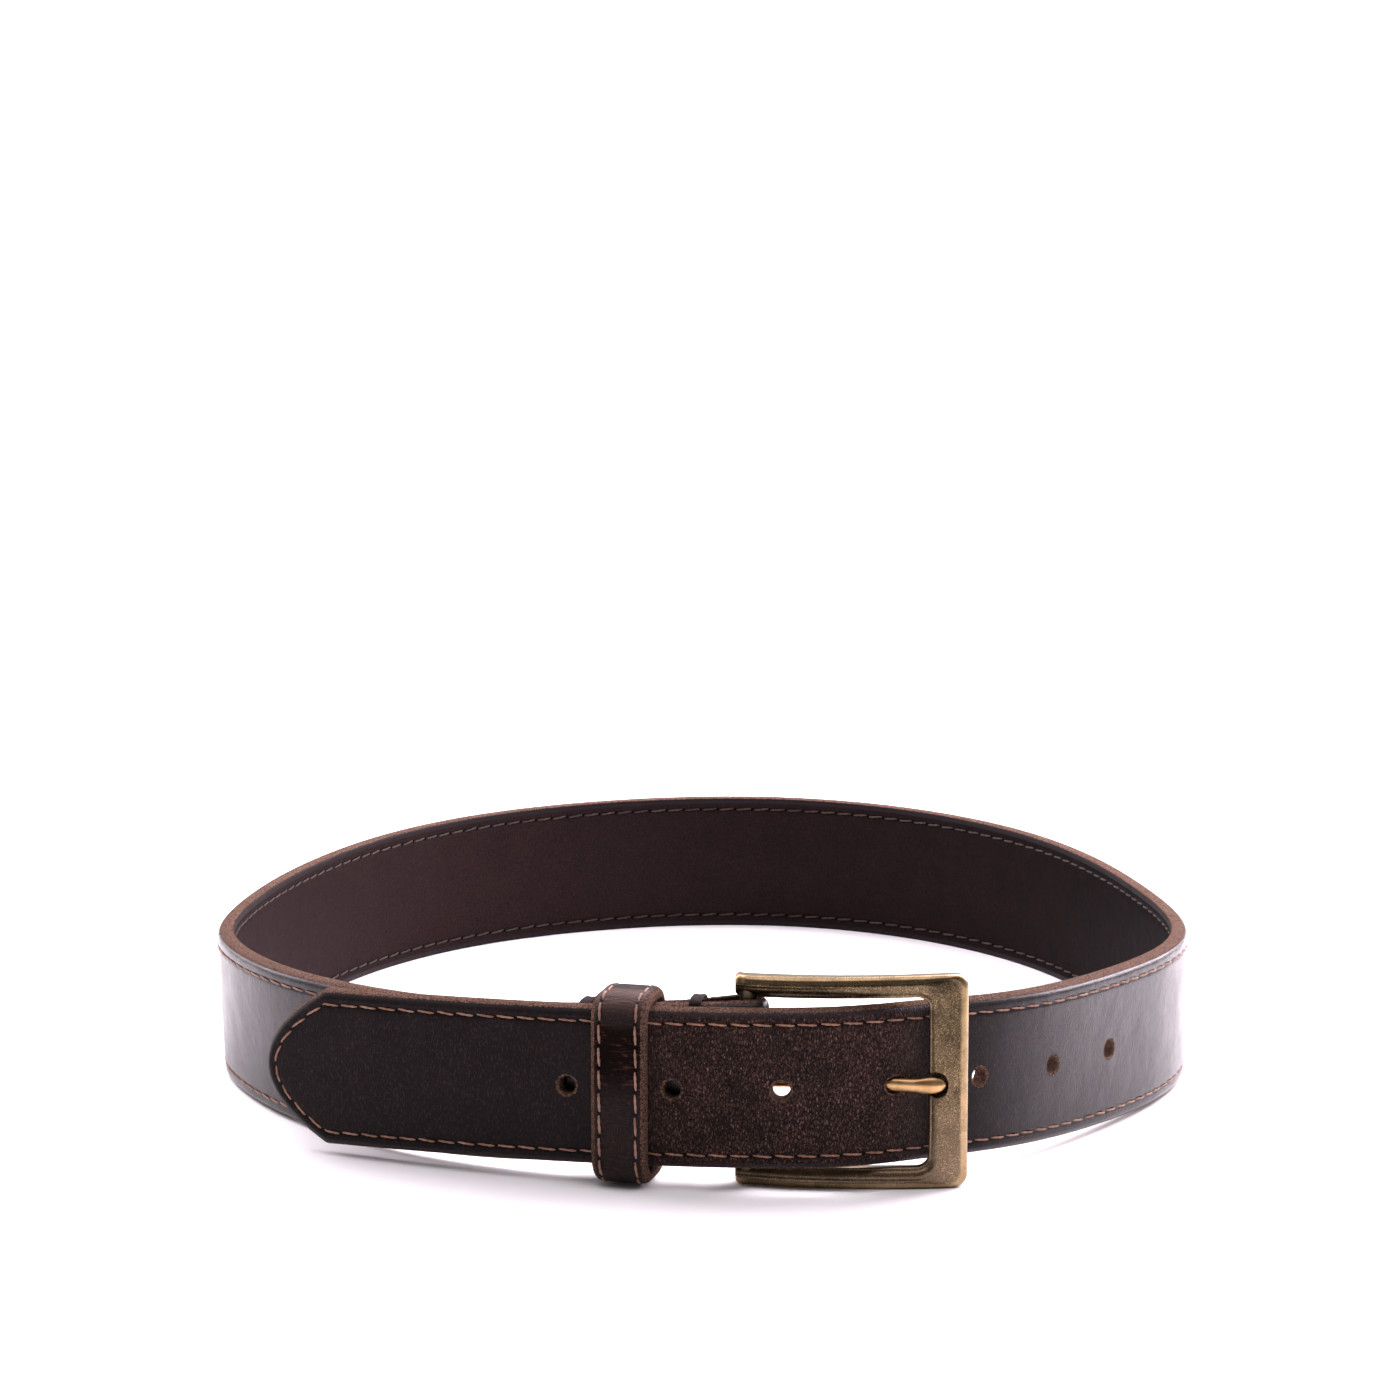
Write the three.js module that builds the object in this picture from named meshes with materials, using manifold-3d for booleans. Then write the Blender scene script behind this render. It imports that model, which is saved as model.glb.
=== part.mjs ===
// A leather belt, fastened on its middle hole and standing on its lower edge.
// Millimetres, +Z up, the buckle on the -Y side and the loop open along Z.
// The strap is one length of leather: the pointed tip, seven holes, the loop for the waist, and the
// buckle end, which passes behind the tip and folds back round the bar of the buckle.
import * as THREE from "three";
import { mergeVertices } from "three/addons/utils/BufferGeometryUtils.js";
import Module from "manifold-3d";

const wasm = await Module();
wasm.setup();

// ---------------------------------------------------------------- driving dimensions

const STRAP_WIDTH = 38;
const STRAP_THICKNESS = 4.5;
const EDGE_BEVEL = 0.5;
const TIP_LENGTH = 16.5;
const TIP_NOSE_HALF_WIDTH = 1.5;
const TIP_STATIONS = [0, 0.3, 1, 2.2, 4, 6.5, 9.5, 13]; // closer together where the point curves most
const TOUCH_GAP = 0.35; // left between pieces that touch
const PLY_GAP = 0.9; // between the tip ply and the buckle end behind it, before they bend together

const HOLE_COUNT = 7;
const HOLE_PITCH = 25.4;
const FIRST_HOLE = 80.2;
const HOLE_RADIUS = 2.15;
const PRONG_HOLE = 3; // counted from 0
const PRONG_HOLE_PULL = 2.4; // how far the prong has dragged its hole towards the front bar

const STITCH_INSET = 3.3;
const STITCH_NOSE = 4; // from the tip back to the first stitch
const STITCH_POINT_STATIONS = [13.5, 10, 7, 5];
const STITCH_END = 12; // the stitching stops this far short of the folded end
const THREAD_WIDTH = 0.8;
const THREAD_DEPTH = 0.45;
const THREAD_SINK = 0.1; // from the leather's face down to the thread
const GROOVE_WIDTH = THREAD_WIDTH + 2 * TOUCH_GAP;
const GROOVE_DEPTH = THREAD_SINK + THREAD_DEPTH + TOUCH_GAP;

const FOLD_THICKNESS = 2.6; // the leather is skived where it folds
const SKIVE_START = 32; // distances before the bar
const SKIVE_END = 8;
const TAIL_LENGTH = 40;
const TAIL_THICKNESS = 2.2;
const TAIL_SETTLES = 20; // from the bar back to where the folded end lies against the strap
const TAIL_STEPS = 8;
const FOLD_STEPS = 8;

const BAR_RADIUS = 2;
const HEEL_X = 10; // where the strap meets the bar of the buckle
const FRAME_HEIGHT = 50.4;
const FRAME_BACK = 3.1; // from the bar's axis back to the ends of the ears
const FRAME_FRONT = 51.4; // from the bar's axis to the outer edge of the front bar
const SIDE_BAR_HEIGHT = 5.2;
const SIDE_BAR_DEPTH = 4.6;
const FRONT_BAR_WIDTH = 9.1;
const FRONT_BAR_DEPTH = 3.8;
const FRAME_CORNER = 3.2;
const FRAME_CORNER_STEPS = 4;
const FRAME_STEP = 7;
const FRAME_END_ROUND = 0.7;
const FRAME_FRONT_LIMB = 17; // height at which the front bar's corner has run out
const FRAME_BEVEL = 1.1;
const FRAME_FLARE = 1; // how much higher the upper bar is at the front bar than at the ears
const FRAME_BOW = 3.5; // how far the frame's middle stands out from its ends
const FRAME_SLOPE = 0.08; // how the front bar stands out from the bar's axis, per mm of length
const PIN_END_WALL = 1.2;

const PRONG_HEIGHT = 3.1;
const PRONG_THICKNESS = 2.6;
const PRONG_EYE_RADIUS = 4.2;
const PRONG_ROOM = 0.5; // round the prong in its hole
const SLOT_ROOM = 1.2; // above and below the prong in the slot of the fold
const SLOT_BACK = 7.2; // how far the slot runs back from the bar
const NOTCH_HEIGHT = 6.4;
const NOTCH_LENGTH = 4.4;
const NOTCH_DEPTH = 2.4;

const KEEPER_STATION = 93.6;
const KEEPER_WIDTH = 13.6;
const KEEPER_THICKNESS = 2.8;
const KEEPER_ROOM = 0.8; // between the keeper and the faces of the leather inside it
const KEEPER_EDGE_ROOM = 1.1; // between the keeper and the edges of the leather inside it
const KEEPER_DROP = 0.4; // the buckle end sits lower than the tip, and the keeper holds both
const KEEPER_CORNER = 5.6;
const KEEPER_STITCH_INSET = 2.4;
const KEEPER_SEAM = 0.3; // the slit where the keeper's two ends meet
const STAPLE_SPAN = 8;
const STAPLE_WIRE = 0.8;
const STAPLE_LEG = 2.2; // how deep its legs go into the leather

const LACING_WIDTH = 3;
const LACING_THICKNESS = 0.9;
const LACING_WRAP = 1.85; // how far the lace reaches over the edge, out from mid thickness
const LACING_LEFT = 9.4; // along the strap from the middle of the keeper
const LACING_RIGHT = 17.3;

// Control points of the strap's route, from the tip round to the buckle end: x, y, the height of the
// lower edge over the floor, and how far the wall leans outwards, in degrees.
const LOOP = [
  [-105, -100, 2, 0],
  [-42, -131, 4.5, 0],
  [28, -147, 6.5, 0],
  [48, -135, 6.2, 0],
  [75, -115, 3.5, 4],
  [101, -81, 1, 0],
  [125, -39, 0, 2],
  [119, 17, 0, -1],
  [97, 100, 0, -2],
  [25, 156, 0, -1],
  [-70, 126, 0, -2],
  [-112, 53, 0, -3],
  [-124, -18, 0, 1],
  [-117, -47, 0, 5],
  [-101, -79, 0.3, 4],
  [-75, -108, 1.5, 0],
];
const BUCKLE_END_LIFTS = [2.5, 8.6, 8]; // of the control points that follow the tip ply

// ---------------------------------------------------------------- materials

const leather = () => new THREE.MeshStandardMaterial({ color: 0x2f2321, roughness: 0.55 });
const keeperLeather = () => new THREE.MeshStandardMaterial({ color: 0x33221c, roughness: 0.5 });
const thread = () => new THREE.MeshStandardMaterial({ color: 0x8a5a41, roughness: 0.8 });
const lacing = () => new THREE.MeshStandardMaterial({ color: 0x3a2822, roughness: 0.75 });
const brass = () => new THREE.MeshStandardMaterial({ color: 0x6b5836, roughness: 0.4, metalness: 1 });
const brightBrass = () =>
  new THREE.MeshStandardMaterial({ color: 0xb08a55, roughness: 0.25, metalness: 1 });
const steel = () => new THREE.MeshStandardMaterial({ color: 0x8d8f92, roughness: 0.35, metalness: 1 });

// ---------------------------------------------------------------- solids

// The local frames below are left-handed, which turns a shape's faces inwards; `solid` turns them back.
function solid(geometry) {
  const bare = geometry.index ? geometry.toNonIndexed() : geometry.clone();
  bare.deleteAttribute("normal");
  bare.deleteAttribute("uv");
  const merged = mergeVertices(bare, 1e-4);
  const vertProperties = merged.attributes.position.array;
  const faces = merged.index.array;
  const made = manifoldOf(vertProperties, faces);
  return made.volume() > 0 ? made : manifoldOf(vertProperties, faces.toReversed());
}

function manifoldOf(vertProperties, faces) {
  const triVerts = new Uint32Array(faces);
  return new wasm.Manifold(new wasm.Mesh({ numProp: 3, vertProperties, triVerts }));
}

function geometryOf(manifold) {
  const mesh = manifold.getMesh();
  const geometry = new THREE.BufferGeometry();
  geometry.setAttribute("position", new THREE.BufferAttribute(mesh.vertProperties, 3));
  geometry.setIndex(new THREE.BufferAttribute(mesh.triVerts, 1));
  const flat = geometry.toNonIndexed();
  flat.computeVertexNormals();
  return flat;
}

// A skin over a row of convex sections, each with the same number of points, closed at both ends.
function loft(sections) {
  const count = sections[0].length;
  const points = sections.flat();
  const faces = [];
  for (let i = 0; i + 1 < sections.length; i++) {
    for (let j = 0; j < count; j++) {
      const a = i * count + j;
      const b = i * count + ((j + 1) % count);
      faces.push(a, b, a + count, b, b + count, a + count);
    }
  }
  const last = (sections.length - 1) * count;
  for (let j = 1; j + 1 < count; j++) {
    faces.push(0, j + 1, j);
    faces.push(last, last + j, last + j + 1);
  }
  const geometry = new THREE.BufferGeometry().setFromPoints(points);
  geometry.setIndex(faces);
  return geometry;
}

// A box between two corners of a local frame { origin, x, y, z }.
function boxIn(frame, low, high) {
  const size = high.map((value, i) => value - low[i]);
  const box = new THREE.BoxGeometry(...size);
  box.translate(...low.map((value, i) => (value + high[i]) / 2));
  return box.applyMatrix4(matrixOf(frame));
}

function matrixOf({ origin, x, y, z }) {
  return new THREE.Matrix4().makeBasis(x, y, z).setPosition(origin);
}

const smooth = THREE.MathUtils.smoothstep;

// ---------------------------------------------------------------- the strap's route

// The tip ply's control points again, moved in behind it by one ply and a gap.
function buckleEndPoints() {
  return BUCKLE_END_LIFTS.map((lift, i) => {
    const here = new THREE.Vector2(...LOOP[i + 1]);
    const next = new THREE.Vector2(...LOOP[i + 2]);
    const before = new THREE.Vector2(...LOOP[i]);
    const inward = next.sub(before).normalize().rotateAround(new THREE.Vector2(), Math.PI / 2);
    here.addScaledVector(inward, STRAP_THICKNESS + PLY_GAP);
    return [here.x, here.y, lift, 0];
  });
}

// A uniform cubic B-spline through rows of numbers, which starts and ends on its first and last rows.
function splineThrough(rows) {
  const mirrored = (a, b) => a.map((value, i) => 2 * value - b[i]);
  const all = [mirrored(rows[0], rows[1]), ...rows, mirrored(rows.at(-1), rows.at(-2))];
  return (u) => {
    const i = Math.min(Math.floor(u), rows.length - 2);
    const f = u - i;
    const weights = [
      (1 - f) ** 3 / 6,
      (3 * f ** 3 - 6 * f ** 2 + 4) / 6,
      (-3 * f ** 3 + 3 * f ** 2 + 3 * f + 1) / 6,
      f ** 3 / 6,
    ];
    return rows[0].map((_, k) => weights.reduce((sum, w, j) => sum + w * all[i + j][k], 0));
  };
}

const ROUTE_ROWS = [...LOOP, ...buckleEndPoints()];
const ROUTE_SAMPLES = 4000;
const ROUTE_STEP = 14; // between the strap's cross-sections
const route = sampledRoute();

function sampledRoute() {
  const at = splineThrough(ROUTE_ROWS);
  const rows = [];
  const lengths = [0];
  for (let i = 0; i <= ROUTE_SAMPLES; i++) {
    rows.push(at((i / ROUTE_SAMPLES) * (ROUTE_ROWS.length - 1)));
    if (i) {
      const step = Math.hypot(rows[i][0] - rows[i - 1][0], rows[i][1] - rows[i - 1][1]);
      lengths.push(lengths[i - 1] + step);
    }
  }
  return { rows, lengths };
}

// The strap's local frame at a distance along it: origin at mid thickness on the lower edge, x along,
// y out of the grain face, z up the wall.
function strapFrame(station) {
  const { rows, lengths } = route;
  let i = lengths.findIndex((length) => length > station);
  if (i < 1) i = station < lengths[1] ? 1 : lengths.length - 1;
  const part = (station - lengths[i - 1]) / (lengths[i] - lengths[i - 1]);
  const row = rows[i].map((value, k) => THREE.MathUtils.lerp(rows[i - 1][k], value, part));
  const x = new THREE.Vector3(rows[i][0] - rows[i - 1][0], rows[i][1] - rows[i - 1][1], 0).normalize();
  const out = new THREE.Vector3(x.y, -x.x, 0);
  const lean = THREE.MathUtils.degToRad(row[3]);
  const z = new THREE.Vector3(0, 0, Math.cos(lean)).addScaledVector(out, Math.sin(lean));
  const y = out.multiplyScalar(Math.cos(lean)).setZ(-Math.sin(lean));
  const lift = row[2] + Math.abs(Math.sin(lean)) * (STRAP_THICKNESS / 2);
  return { origin: new THREE.Vector3(row[0], row[1], lift), x, y, z };
}

function pointIn({ origin, x, y, z }, along, out, up) {
  return origin.clone().addScaledVector(x, along).addScaledVector(y, out).addScaledVector(z, up);
}

// The distance along the strap at which one of its two front plies crosses a value of x.
function stationAt(xValue, from) {
  const { rows, lengths } = route;
  const i = rows.findIndex((row, k) => lengths[k] > from && row[0] >= xValue);
  return lengths[i];
}

const BUCKLE_END_START = 800;
const HEEL_STATION = stationAt(HEEL_X, BUCKLE_END_START);
const FOLD_RADIUS = BAR_RADIUS + TOUCH_GAP + FOLD_THICKNESS;
const heel = heelFrame();

// At the axis of the buckle's bar, at mid width: x along the strap, y out of the grain face, z up.
function heelFrame() {
  const frame = strapFrame(HEEL_STATION);
  const origin = pointIn(frame, 0, STRAP_THICKNESS / 2 - FOLD_RADIUS, 0);
  origin.z = FRAME_HEIGHT / 2;
  return { ...frame, origin };
}

// ---------------------------------------------------------------- strap

function halfWidthAt(station) {
  const half = STRAP_WIDTH / 2;
  const rise = Math.sqrt(THREE.MathUtils.clamp(station / TIP_LENGTH, 0, 1));
  return Math.max(TIP_NOSE_HALF_WIDTH, half * rise);
}

function thicknessAt(station) {
  const skived = smooth(station, HEEL_STATION - SKIVE_START, HEEL_STATION - SKIVE_END);
  return THREE.MathUtils.lerp(STRAP_THICKNESS, FOLD_THICKNESS, skived);
}

// One cross-section: the grain face lies `grain` out from the frame's origin.
function strapSection(frame, grain, thickness, halfWidth) {
  const b = EDGE_BEVEL;
  const flesh = grain - thickness;
  const low = STRAP_WIDTH / 2 - halfWidth;
  const high = STRAP_WIDTH / 2 + halfWidth;
  return [
    [grain, low + b],
    [grain, high - b],
    [grain - b, high],
    [flesh + b, high],
    [flesh, high - b],
    [flesh, low + b],
    [flesh + b, low],
    [grain - b, low],
  ].map(([out, up]) => pointIn(frame, 0, out, up));
}

// Every whole step of the route between two stations, and the two stations themselves.
function stationsBetween(from, to) {
  const first = Math.ceil((from + 1) / ROUTE_STEP);
  const last = Math.floor((to - 1) / ROUTE_STEP);
  const between = Array.from({ length: last - first + 1 }, (_, i) => (first + i) * ROUTE_STEP);
  return [from, ...between, to];
}

function plySections() {
  return [...TIP_STATIONS, ...stationsBetween(TIP_LENGTH, HEEL_STATION)].map((s) =>
    strapSection(strapFrame(s), STRAP_THICKNESS / 2, thicknessAt(s), halfWidthAt(s)),
  );
}

function foldSections() {
  const lift = strapFrame(HEEL_STATION).origin.z - heel.origin.z;
  return Array.from({ length: FOLD_STEPS }, (_, i) => {
    const turn = ((i + 1) / FOLD_STEPS) * Math.PI;
    const y = pointIn({ ...heel, origin: new THREE.Vector3() }, Math.sin(turn), Math.cos(turn), 0);
    const frame = { origin: pointIn(heel, 0, 0, lift), x: heel.x, y, z: heel.z };
    return strapSection(frame, FOLD_RADIUS, FOLD_THICKNESS, STRAP_WIDTH / 2);
  });
}

// The folded end at a distance back from the buckle's bar: its thickness, and how far its free face lies
// in from the middle of the ply that it rests on.
function tailAt(back) {
  const thickness = THREE.MathUtils.lerp(FOLD_THICKNESS, TAIL_THICKNESS, back / TAIL_LENGTH);
  const ply = thicknessAt(HEEL_STATION - back) - STRAP_THICKNESS / 2;
  const atBar = 2 * FOLD_RADIUS - STRAP_THICKNESS / 2;
  const inward = THREE.MathUtils.lerp(
    atBar,
    ply + TOUCH_GAP + thickness,
    smooth(back, 0, TAIL_SETTLES),
  );
  return { thickness, inward };
}

function tailSections() {
  return Array.from({ length: TAIL_STEPS }, (_, i) => {
    const back = ((i + 1) / TAIL_STEPS) * TAIL_LENGTH;
    const frame = strapFrame(HEEL_STATION - back);
    const { thickness, inward } = tailAt(back);
    const turned = { ...frame, y: frame.y.clone().negate() };
    return strapSection(turned, inward, thickness, STRAP_WIDTH / 2);
  });
}

function strapBlank() {
  return solid(loft([...plySections(), ...foldSections(), ...tailSections()]));
}

function holeCutter(station) {
  const length = STRAP_THICKNESS + TOUCH_GAP;
  const cylinder = new THREE.CylinderGeometry(HOLE_RADIUS, HOLE_RADIUS, length, 12);
  const frame = strapFrame(station);
  cylinder.translate(0, 0, STRAP_WIDTH / 2);
  return solid(cylinder.applyMatrix4(matrixOf(frame)));
}

function holeCutters() {
  return Array.from({ length: HOLE_COUNT }, (_, i) => {
    const pull = i === PRONG_HOLE ? PRONG_HOLE_PULL : 0;
    return holeCutter(FIRST_HOLE + i * HOLE_PITCH + pull);
  });
}

// The slot through both sides of the fold, where the prong's eye sits on the bar.
function prongSlotCutter() {
  const half = PRONG_HEIGHT / 2 + SLOT_ROOM;
  const inner = -FOLD_RADIUS - FOLD_THICKNESS;
  const outer = FOLD_RADIUS + TOUCH_GAP;
  return solid(boxIn(heel, [-SLOT_BACK, inner, -half], [outer, outer, half]));
}

// ---------------------------------------------------------------- edge threads

// The stitch line: along the lower edge to the tip, round the point, and back along the upper edge.
function stitchLine() {
  const end = HEEL_STATION - TAIL_LENGTH - STITCH_END;
  const stations = [...stationsBetween(TIP_LENGTH, end).reverse(), ...STITCH_POINT_STATIONS];
  const side = (sign) => (s) => [s, STRAP_WIDTH / 2 + sign * stitchHalfWidth(s)];
  return [
    ...stations.map(side(-1)),
    [STITCH_NOSE, STRAP_WIDTH / 2],
    ...stations.toReversed().map(side(1)),
  ];
}

function stitchHalfWidth(station) {
  const full = STRAP_WIDTH / 2 - STITCH_INSET;
  const rise = (station - STITCH_NOSE) / (TIP_LENGTH - STITCH_NOSE);
  return full * Math.sqrt(THREE.MathUtils.clamp(rise, 0, 1));
}

// A flat strand along the stitch line, from `top` down to `bottom` below one face of the strap.
function strand(face, width, top, bottom) {
  const line = stitchLine();
  const sections = line.map(([s, w], i) => {
    const [s0, w0] = line[Math.max(i - 1, 0)];
    const [s1, w1] = line[Math.min(i + 1, line.length - 1)];
    const across = new THREE.Vector2(w0 - w1, s1 - s0).normalize().multiplyScalar(width / 2);
    const left = strapFrame(s + across.x);
    const right = strapFrame(s - across.x);
    const outer = face * (STRAP_THICKNESS / 2 - top);
    const inner = face * (STRAP_THICKNESS / 2 - bottom);
    return [
      pointIn(left, 0, outer, w + across.y),
      pointIn(right, 0, outer, w - across.y),
      pointIn(right, 0, inner, w - across.y),
      pointIn(left, 0, inner, w + across.y),
    ];
  });
  return solid(loft(sections));
}

const edgeThread = (face) => strand(face, THREAD_WIDTH, THREAD_SINK, THREAD_SINK + THREAD_DEPTH);
const edgeGroove = (face) => strand(face, GROOVE_WIDTH, -TOUCH_GAP, GROOVE_DEPTH);

// ---------------------------------------------------------------- buckle frame

const frameMiddle = (FRAME_FRONT - FRAME_BACK) / 2;
const frameHalf = (FRAME_FRONT + FRAME_BACK) / 2;
const bowAt = (along) => FRAME_BOW * (1 - ((along - frameMiddle) / frameHalf) ** 2);
const frameOut = (along) => FRAME_SLOPE * along + bowAt(along) - bowAt(0);

// The buckle lies square to the front, whatever the strap's heading at the bar.
const buckle = {
  origin: new THREE.Vector3(heel.origin.x, heel.origin.y, 0),
  x: new THREE.Vector3(1, 0, 0),
  y: new THREE.Vector3(0, -1, 0),
  z: new THREE.Vector3(0, 0, 1),
};

function frameSection([outerAlong, outerUp], [innerAlong, innerUp], depth) {
  const b = FRAME_BEVEL;
  const span = Math.hypot(innerAlong - outerAlong, innerUp - outerUp);
  const at = (inset, out) => {
    const along = THREE.MathUtils.lerp(outerAlong, innerAlong, inset / span);
    const up = THREE.MathUtils.lerp(outerUp, innerUp, inset / span);
    return pointIn(buckle, along, frameOut(along) + out, up);
  };
  const half = depth / 2;
  return [
    at(0, b - half),
    at(0, half - b),
    at(b, half),
    at(span - b, half),
    at(span, half - b),
    at(span, b - half),
    at(span - b, -half),
    at(b, -half),
  ];
}

// Pairs of outer and inner outline points round the lower half of the frame.
function frameOutline() {
  const innerEdge = FRAME_FRONT - FRONT_BAR_WIDTH;
  const steps = [0, 1, 2, 3, 4, 5].map((i) => i * FRAME_STEP);
  const along = [FRAME_END_ROUND - FRAME_BACK, ...steps];
  const bar = along.map((x) => [[x, 0], [x, SIDE_BAR_HEIGHT], SIDE_BAR_DEPTH]);
  const c = FRAME_CORNER;
  const corner = Array.from({ length: FRAME_CORNER_STEPS + 1 }, (_, i) => {
    const part = i / FRAME_CORNER_STEPS;
    const turn = (part * Math.PI) / 2;
    const round = (x, z) => [x - c + c * Math.sin(turn), z + c - c * Math.cos(turn)];
    const depth = THREE.MathUtils.lerp(SIDE_BAR_DEPTH, FRONT_BAR_DEPTH, part);
    return [round(FRAME_FRONT, 0), round(innerEdge, SIDE_BAR_HEIGHT), depth];
  });
  const front = [FRAME_FRONT, innerEdge].map((x) => [x, FRAME_FRONT_LIMB]);
  return [...bar, ...corner, [...front, FRONT_BAR_DEPTH]];
}

function frameEnd() {
  const outer = [-FRAME_BACK, FRAME_END_ROUND];
  const inner = [-FRAME_BACK, SIDE_BAR_HEIGHT - FRAME_END_ROUND];
  return [outer, inner, SIDE_BAR_DEPTH - 2 * FRAME_END_ROUND];
}

function buckleFrame() {
  const lower = [frameEnd(), ...frameOutline()];
  const rise = (x) => (FRAME_FLARE * Math.max(x, 0)) / FRAME_FRONT;
  const flip = ([x, z]) => [x, FRAME_HEIGHT + rise(x) - z];
  const upper = lower.toReversed().map(([outer, inner, depth]) => [flip(outer), flip(inner), depth]);
  const sections = [...lower, ...upper].map((row) => frameSection(...row));
  const ring = solid(loft(sections));
  return ring.subtract(notchCutter()).subtract(heelBarSolid(BAR_RADIUS + TOUCH_GAP, TOUCH_GAP));
}

// The seat for the prong's tip, in the front bar's inner edge.
function notchCutter() {
  const innerEdge = FRAME_FRONT - FRONT_BAR_WIDTH;
  const face = frameOut(innerEdge) + FRONT_BAR_DEPTH / 2;
  const low = [innerEdge - NOTCH_LENGTH, face - NOTCH_DEPTH, (FRAME_HEIGHT - NOTCH_HEIGHT) / 2];
  const high = [innerEdge + NOTCH_LENGTH, face + NOTCH_DEPTH, (FRAME_HEIGHT + NOTCH_HEIGHT) / 2];
  return solid(boxIn(buckle, low, high));
}

function heelBarSolid(radius, extra) {
  const length = FRAME_HEIGHT - 2 * (PIN_END_WALL + TOUCH_GAP) + 2 * extra;
  const bar = new THREE.CylinderGeometry(radius, radius, length, 20);
  bar.rotateX(Math.PI / 2);
  return solid(bar.translate(heel.origin.x, heel.origin.y, heel.origin.z));
}

// ---------------------------------------------------------------- prong

// Along, out, half height and half thickness, from the eye to the point.
const PRONG_SHAPE = [
  [1.5, 1.6, 1, 0.8],
  [7, 1.6, 1, 1],
  [16, 2.6, 1, 1],
  [26, 3.5, 1, 1],
  [32, 4.7, 1, 1],
  [38, 5.7, 1, 1],
  [42, 5.9, 1.26, 1.15],
  [44.5, 5.7, 0.85, 0.9],
  [46.3, 5.4, 0.15, 0.3],
];

function prongShank(extra) {
  const sections = PRONG_SHAPE.map(([along, out, tall, thick]) => {
    const halfHeight = (PRONG_HEIGHT / 2) * tall + extra;
    const halfThickness = (PRONG_THICKNESS / 2) * thick + extra;
    return Array.from({ length: 10 }, (_, i) => {
      const turn = (i / 10) * 2 * Math.PI;
      const up = FRAME_HEIGHT / 2 + halfHeight * Math.cos(turn);
      return pointIn(buckle, along, out + halfThickness * Math.sin(turn), up);
    });
  });
  return solid(loft(sections));
}

function prongEye() {
  const outer = new THREE.CylinderGeometry(PRONG_EYE_RADIUS, PRONG_EYE_RADIUS, PRONG_HEIGHT, 24);
  outer.rotateX(Math.PI / 2);
  return solid(outer.translate(heel.origin.x, heel.origin.y, heel.origin.z));
}

function prongSolid() {
  return prongEye().add(prongShank(0)).subtract(heelBarSolid(BAR_RADIUS + TOUCH_GAP, 0));
}

// ---------------------------------------------------------------- keeper

const keeper = keeperFrame();

// At the middle of the leather inside the keeper: x along the strap, y outwards, z up.
function keeperFrame() {
  const frame = strapFrame(KEEPER_STATION);
  const back = keeperBack();
  const origin = pointIn(frame, 0, (STRAP_THICKNESS / 2 - back) / 2, STRAP_WIDTH / 2 - KEEPER_DROP);
  return { ...frame, origin };
}

// How far the folded end's inner face lies behind the middle of the tip ply.
function keeperBack() {
  const tipPly = strapFrame(KEEPER_STATION);
  const s = stationAt(tipPly.origin.x, BUCKLE_END_START);
  const apart = strapFrame(s).origin.sub(tipPly.origin).dot(tipPly.y);
  return tailAt(HEEL_STATION - s).inward - apart;
}

function keeperHalfDepth() {
  return (STRAP_THICKNESS / 2 + keeperBack()) / 2 + KEEPER_ROOM;
}

function roundedRectangle(halfWidth, halfHeight, radius) {
  const shape = new THREE.Shape();
  shape.moveTo(halfWidth, radius - halfHeight);
  shape.lineTo(halfWidth, halfHeight - radius);
  shape.absarc(halfWidth - radius, halfHeight - radius, radius, 0, Math.PI / 2);
  shape.absarc(radius - halfWidth, halfHeight - radius, radius, Math.PI / 2, Math.PI);
  shape.absarc(radius - halfWidth, radius - halfHeight, radius, Math.PI, 1.5 * Math.PI);
  shape.absarc(halfWidth - radius, radius - halfHeight, radius, 1.5 * Math.PI, 2 * Math.PI);
  return shape;
}

// A band round the keeper between two depths under its outer face.
function keeperBand(top, bottom, from, to) {
  const halfDepth = keeperHalfDepth() + KEEPER_THICKNESS;
  const halfHeight = STRAP_WIDTH / 2 + KEEPER_EDGE_ROOM + KEEPER_THICKNESS;
  const ring = (inset) =>
    roundedRectangle(halfDepth - inset, halfHeight - inset, Math.max(KEEPER_CORNER - inset, 1));
  const shape = ring(top);
  shape.holes.push(ring(bottom));
  const band = new THREE.ExtrudeGeometry(shape, {
    depth: to - from,
    bevelEnabled: false,
    curveSegments: 4,
  });
  band.translate(0, 0, from);
  const basis = { origin: keeper.origin, x: keeper.y, y: keeper.z, z: keeper.x };
  return solid(band.applyMatrix4(matrixOf(basis)));
}

function keeperThread(side, width, top, bottom) {
  const middle = side * (KEEPER_WIDTH / 2 - KEEPER_STITCH_INSET);
  return keeperBand(top, bottom, middle - width / 2, middle + width / 2);
}

function keeperLoop() {
  let loop = keeperBand(0, KEEPER_THICKNESS, -KEEPER_WIDTH / 2, KEEPER_WIDTH / 2);
  for (const side of [-1, 1]) {
    loop = loop.subtract(keeperThread(side, GROOVE_WIDTH, -TOUCH_GAP, GROOVE_DEPTH));
  }
  return loop.subtract(keeperSlit()).subtract(stapleSolid(TOUCH_GAP));
}

function keeperSlit() {
  const back = -keeperHalfDepth();
  const half = KEEPER_SEAM / 2;
  const low = [-KEEPER_WIDTH, back - 2 * KEEPER_THICKNESS, -half];
  return solid(boxIn(keeper, low, [KEEPER_WIDTH, back + KEEPER_ROOM, half]));
}

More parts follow.
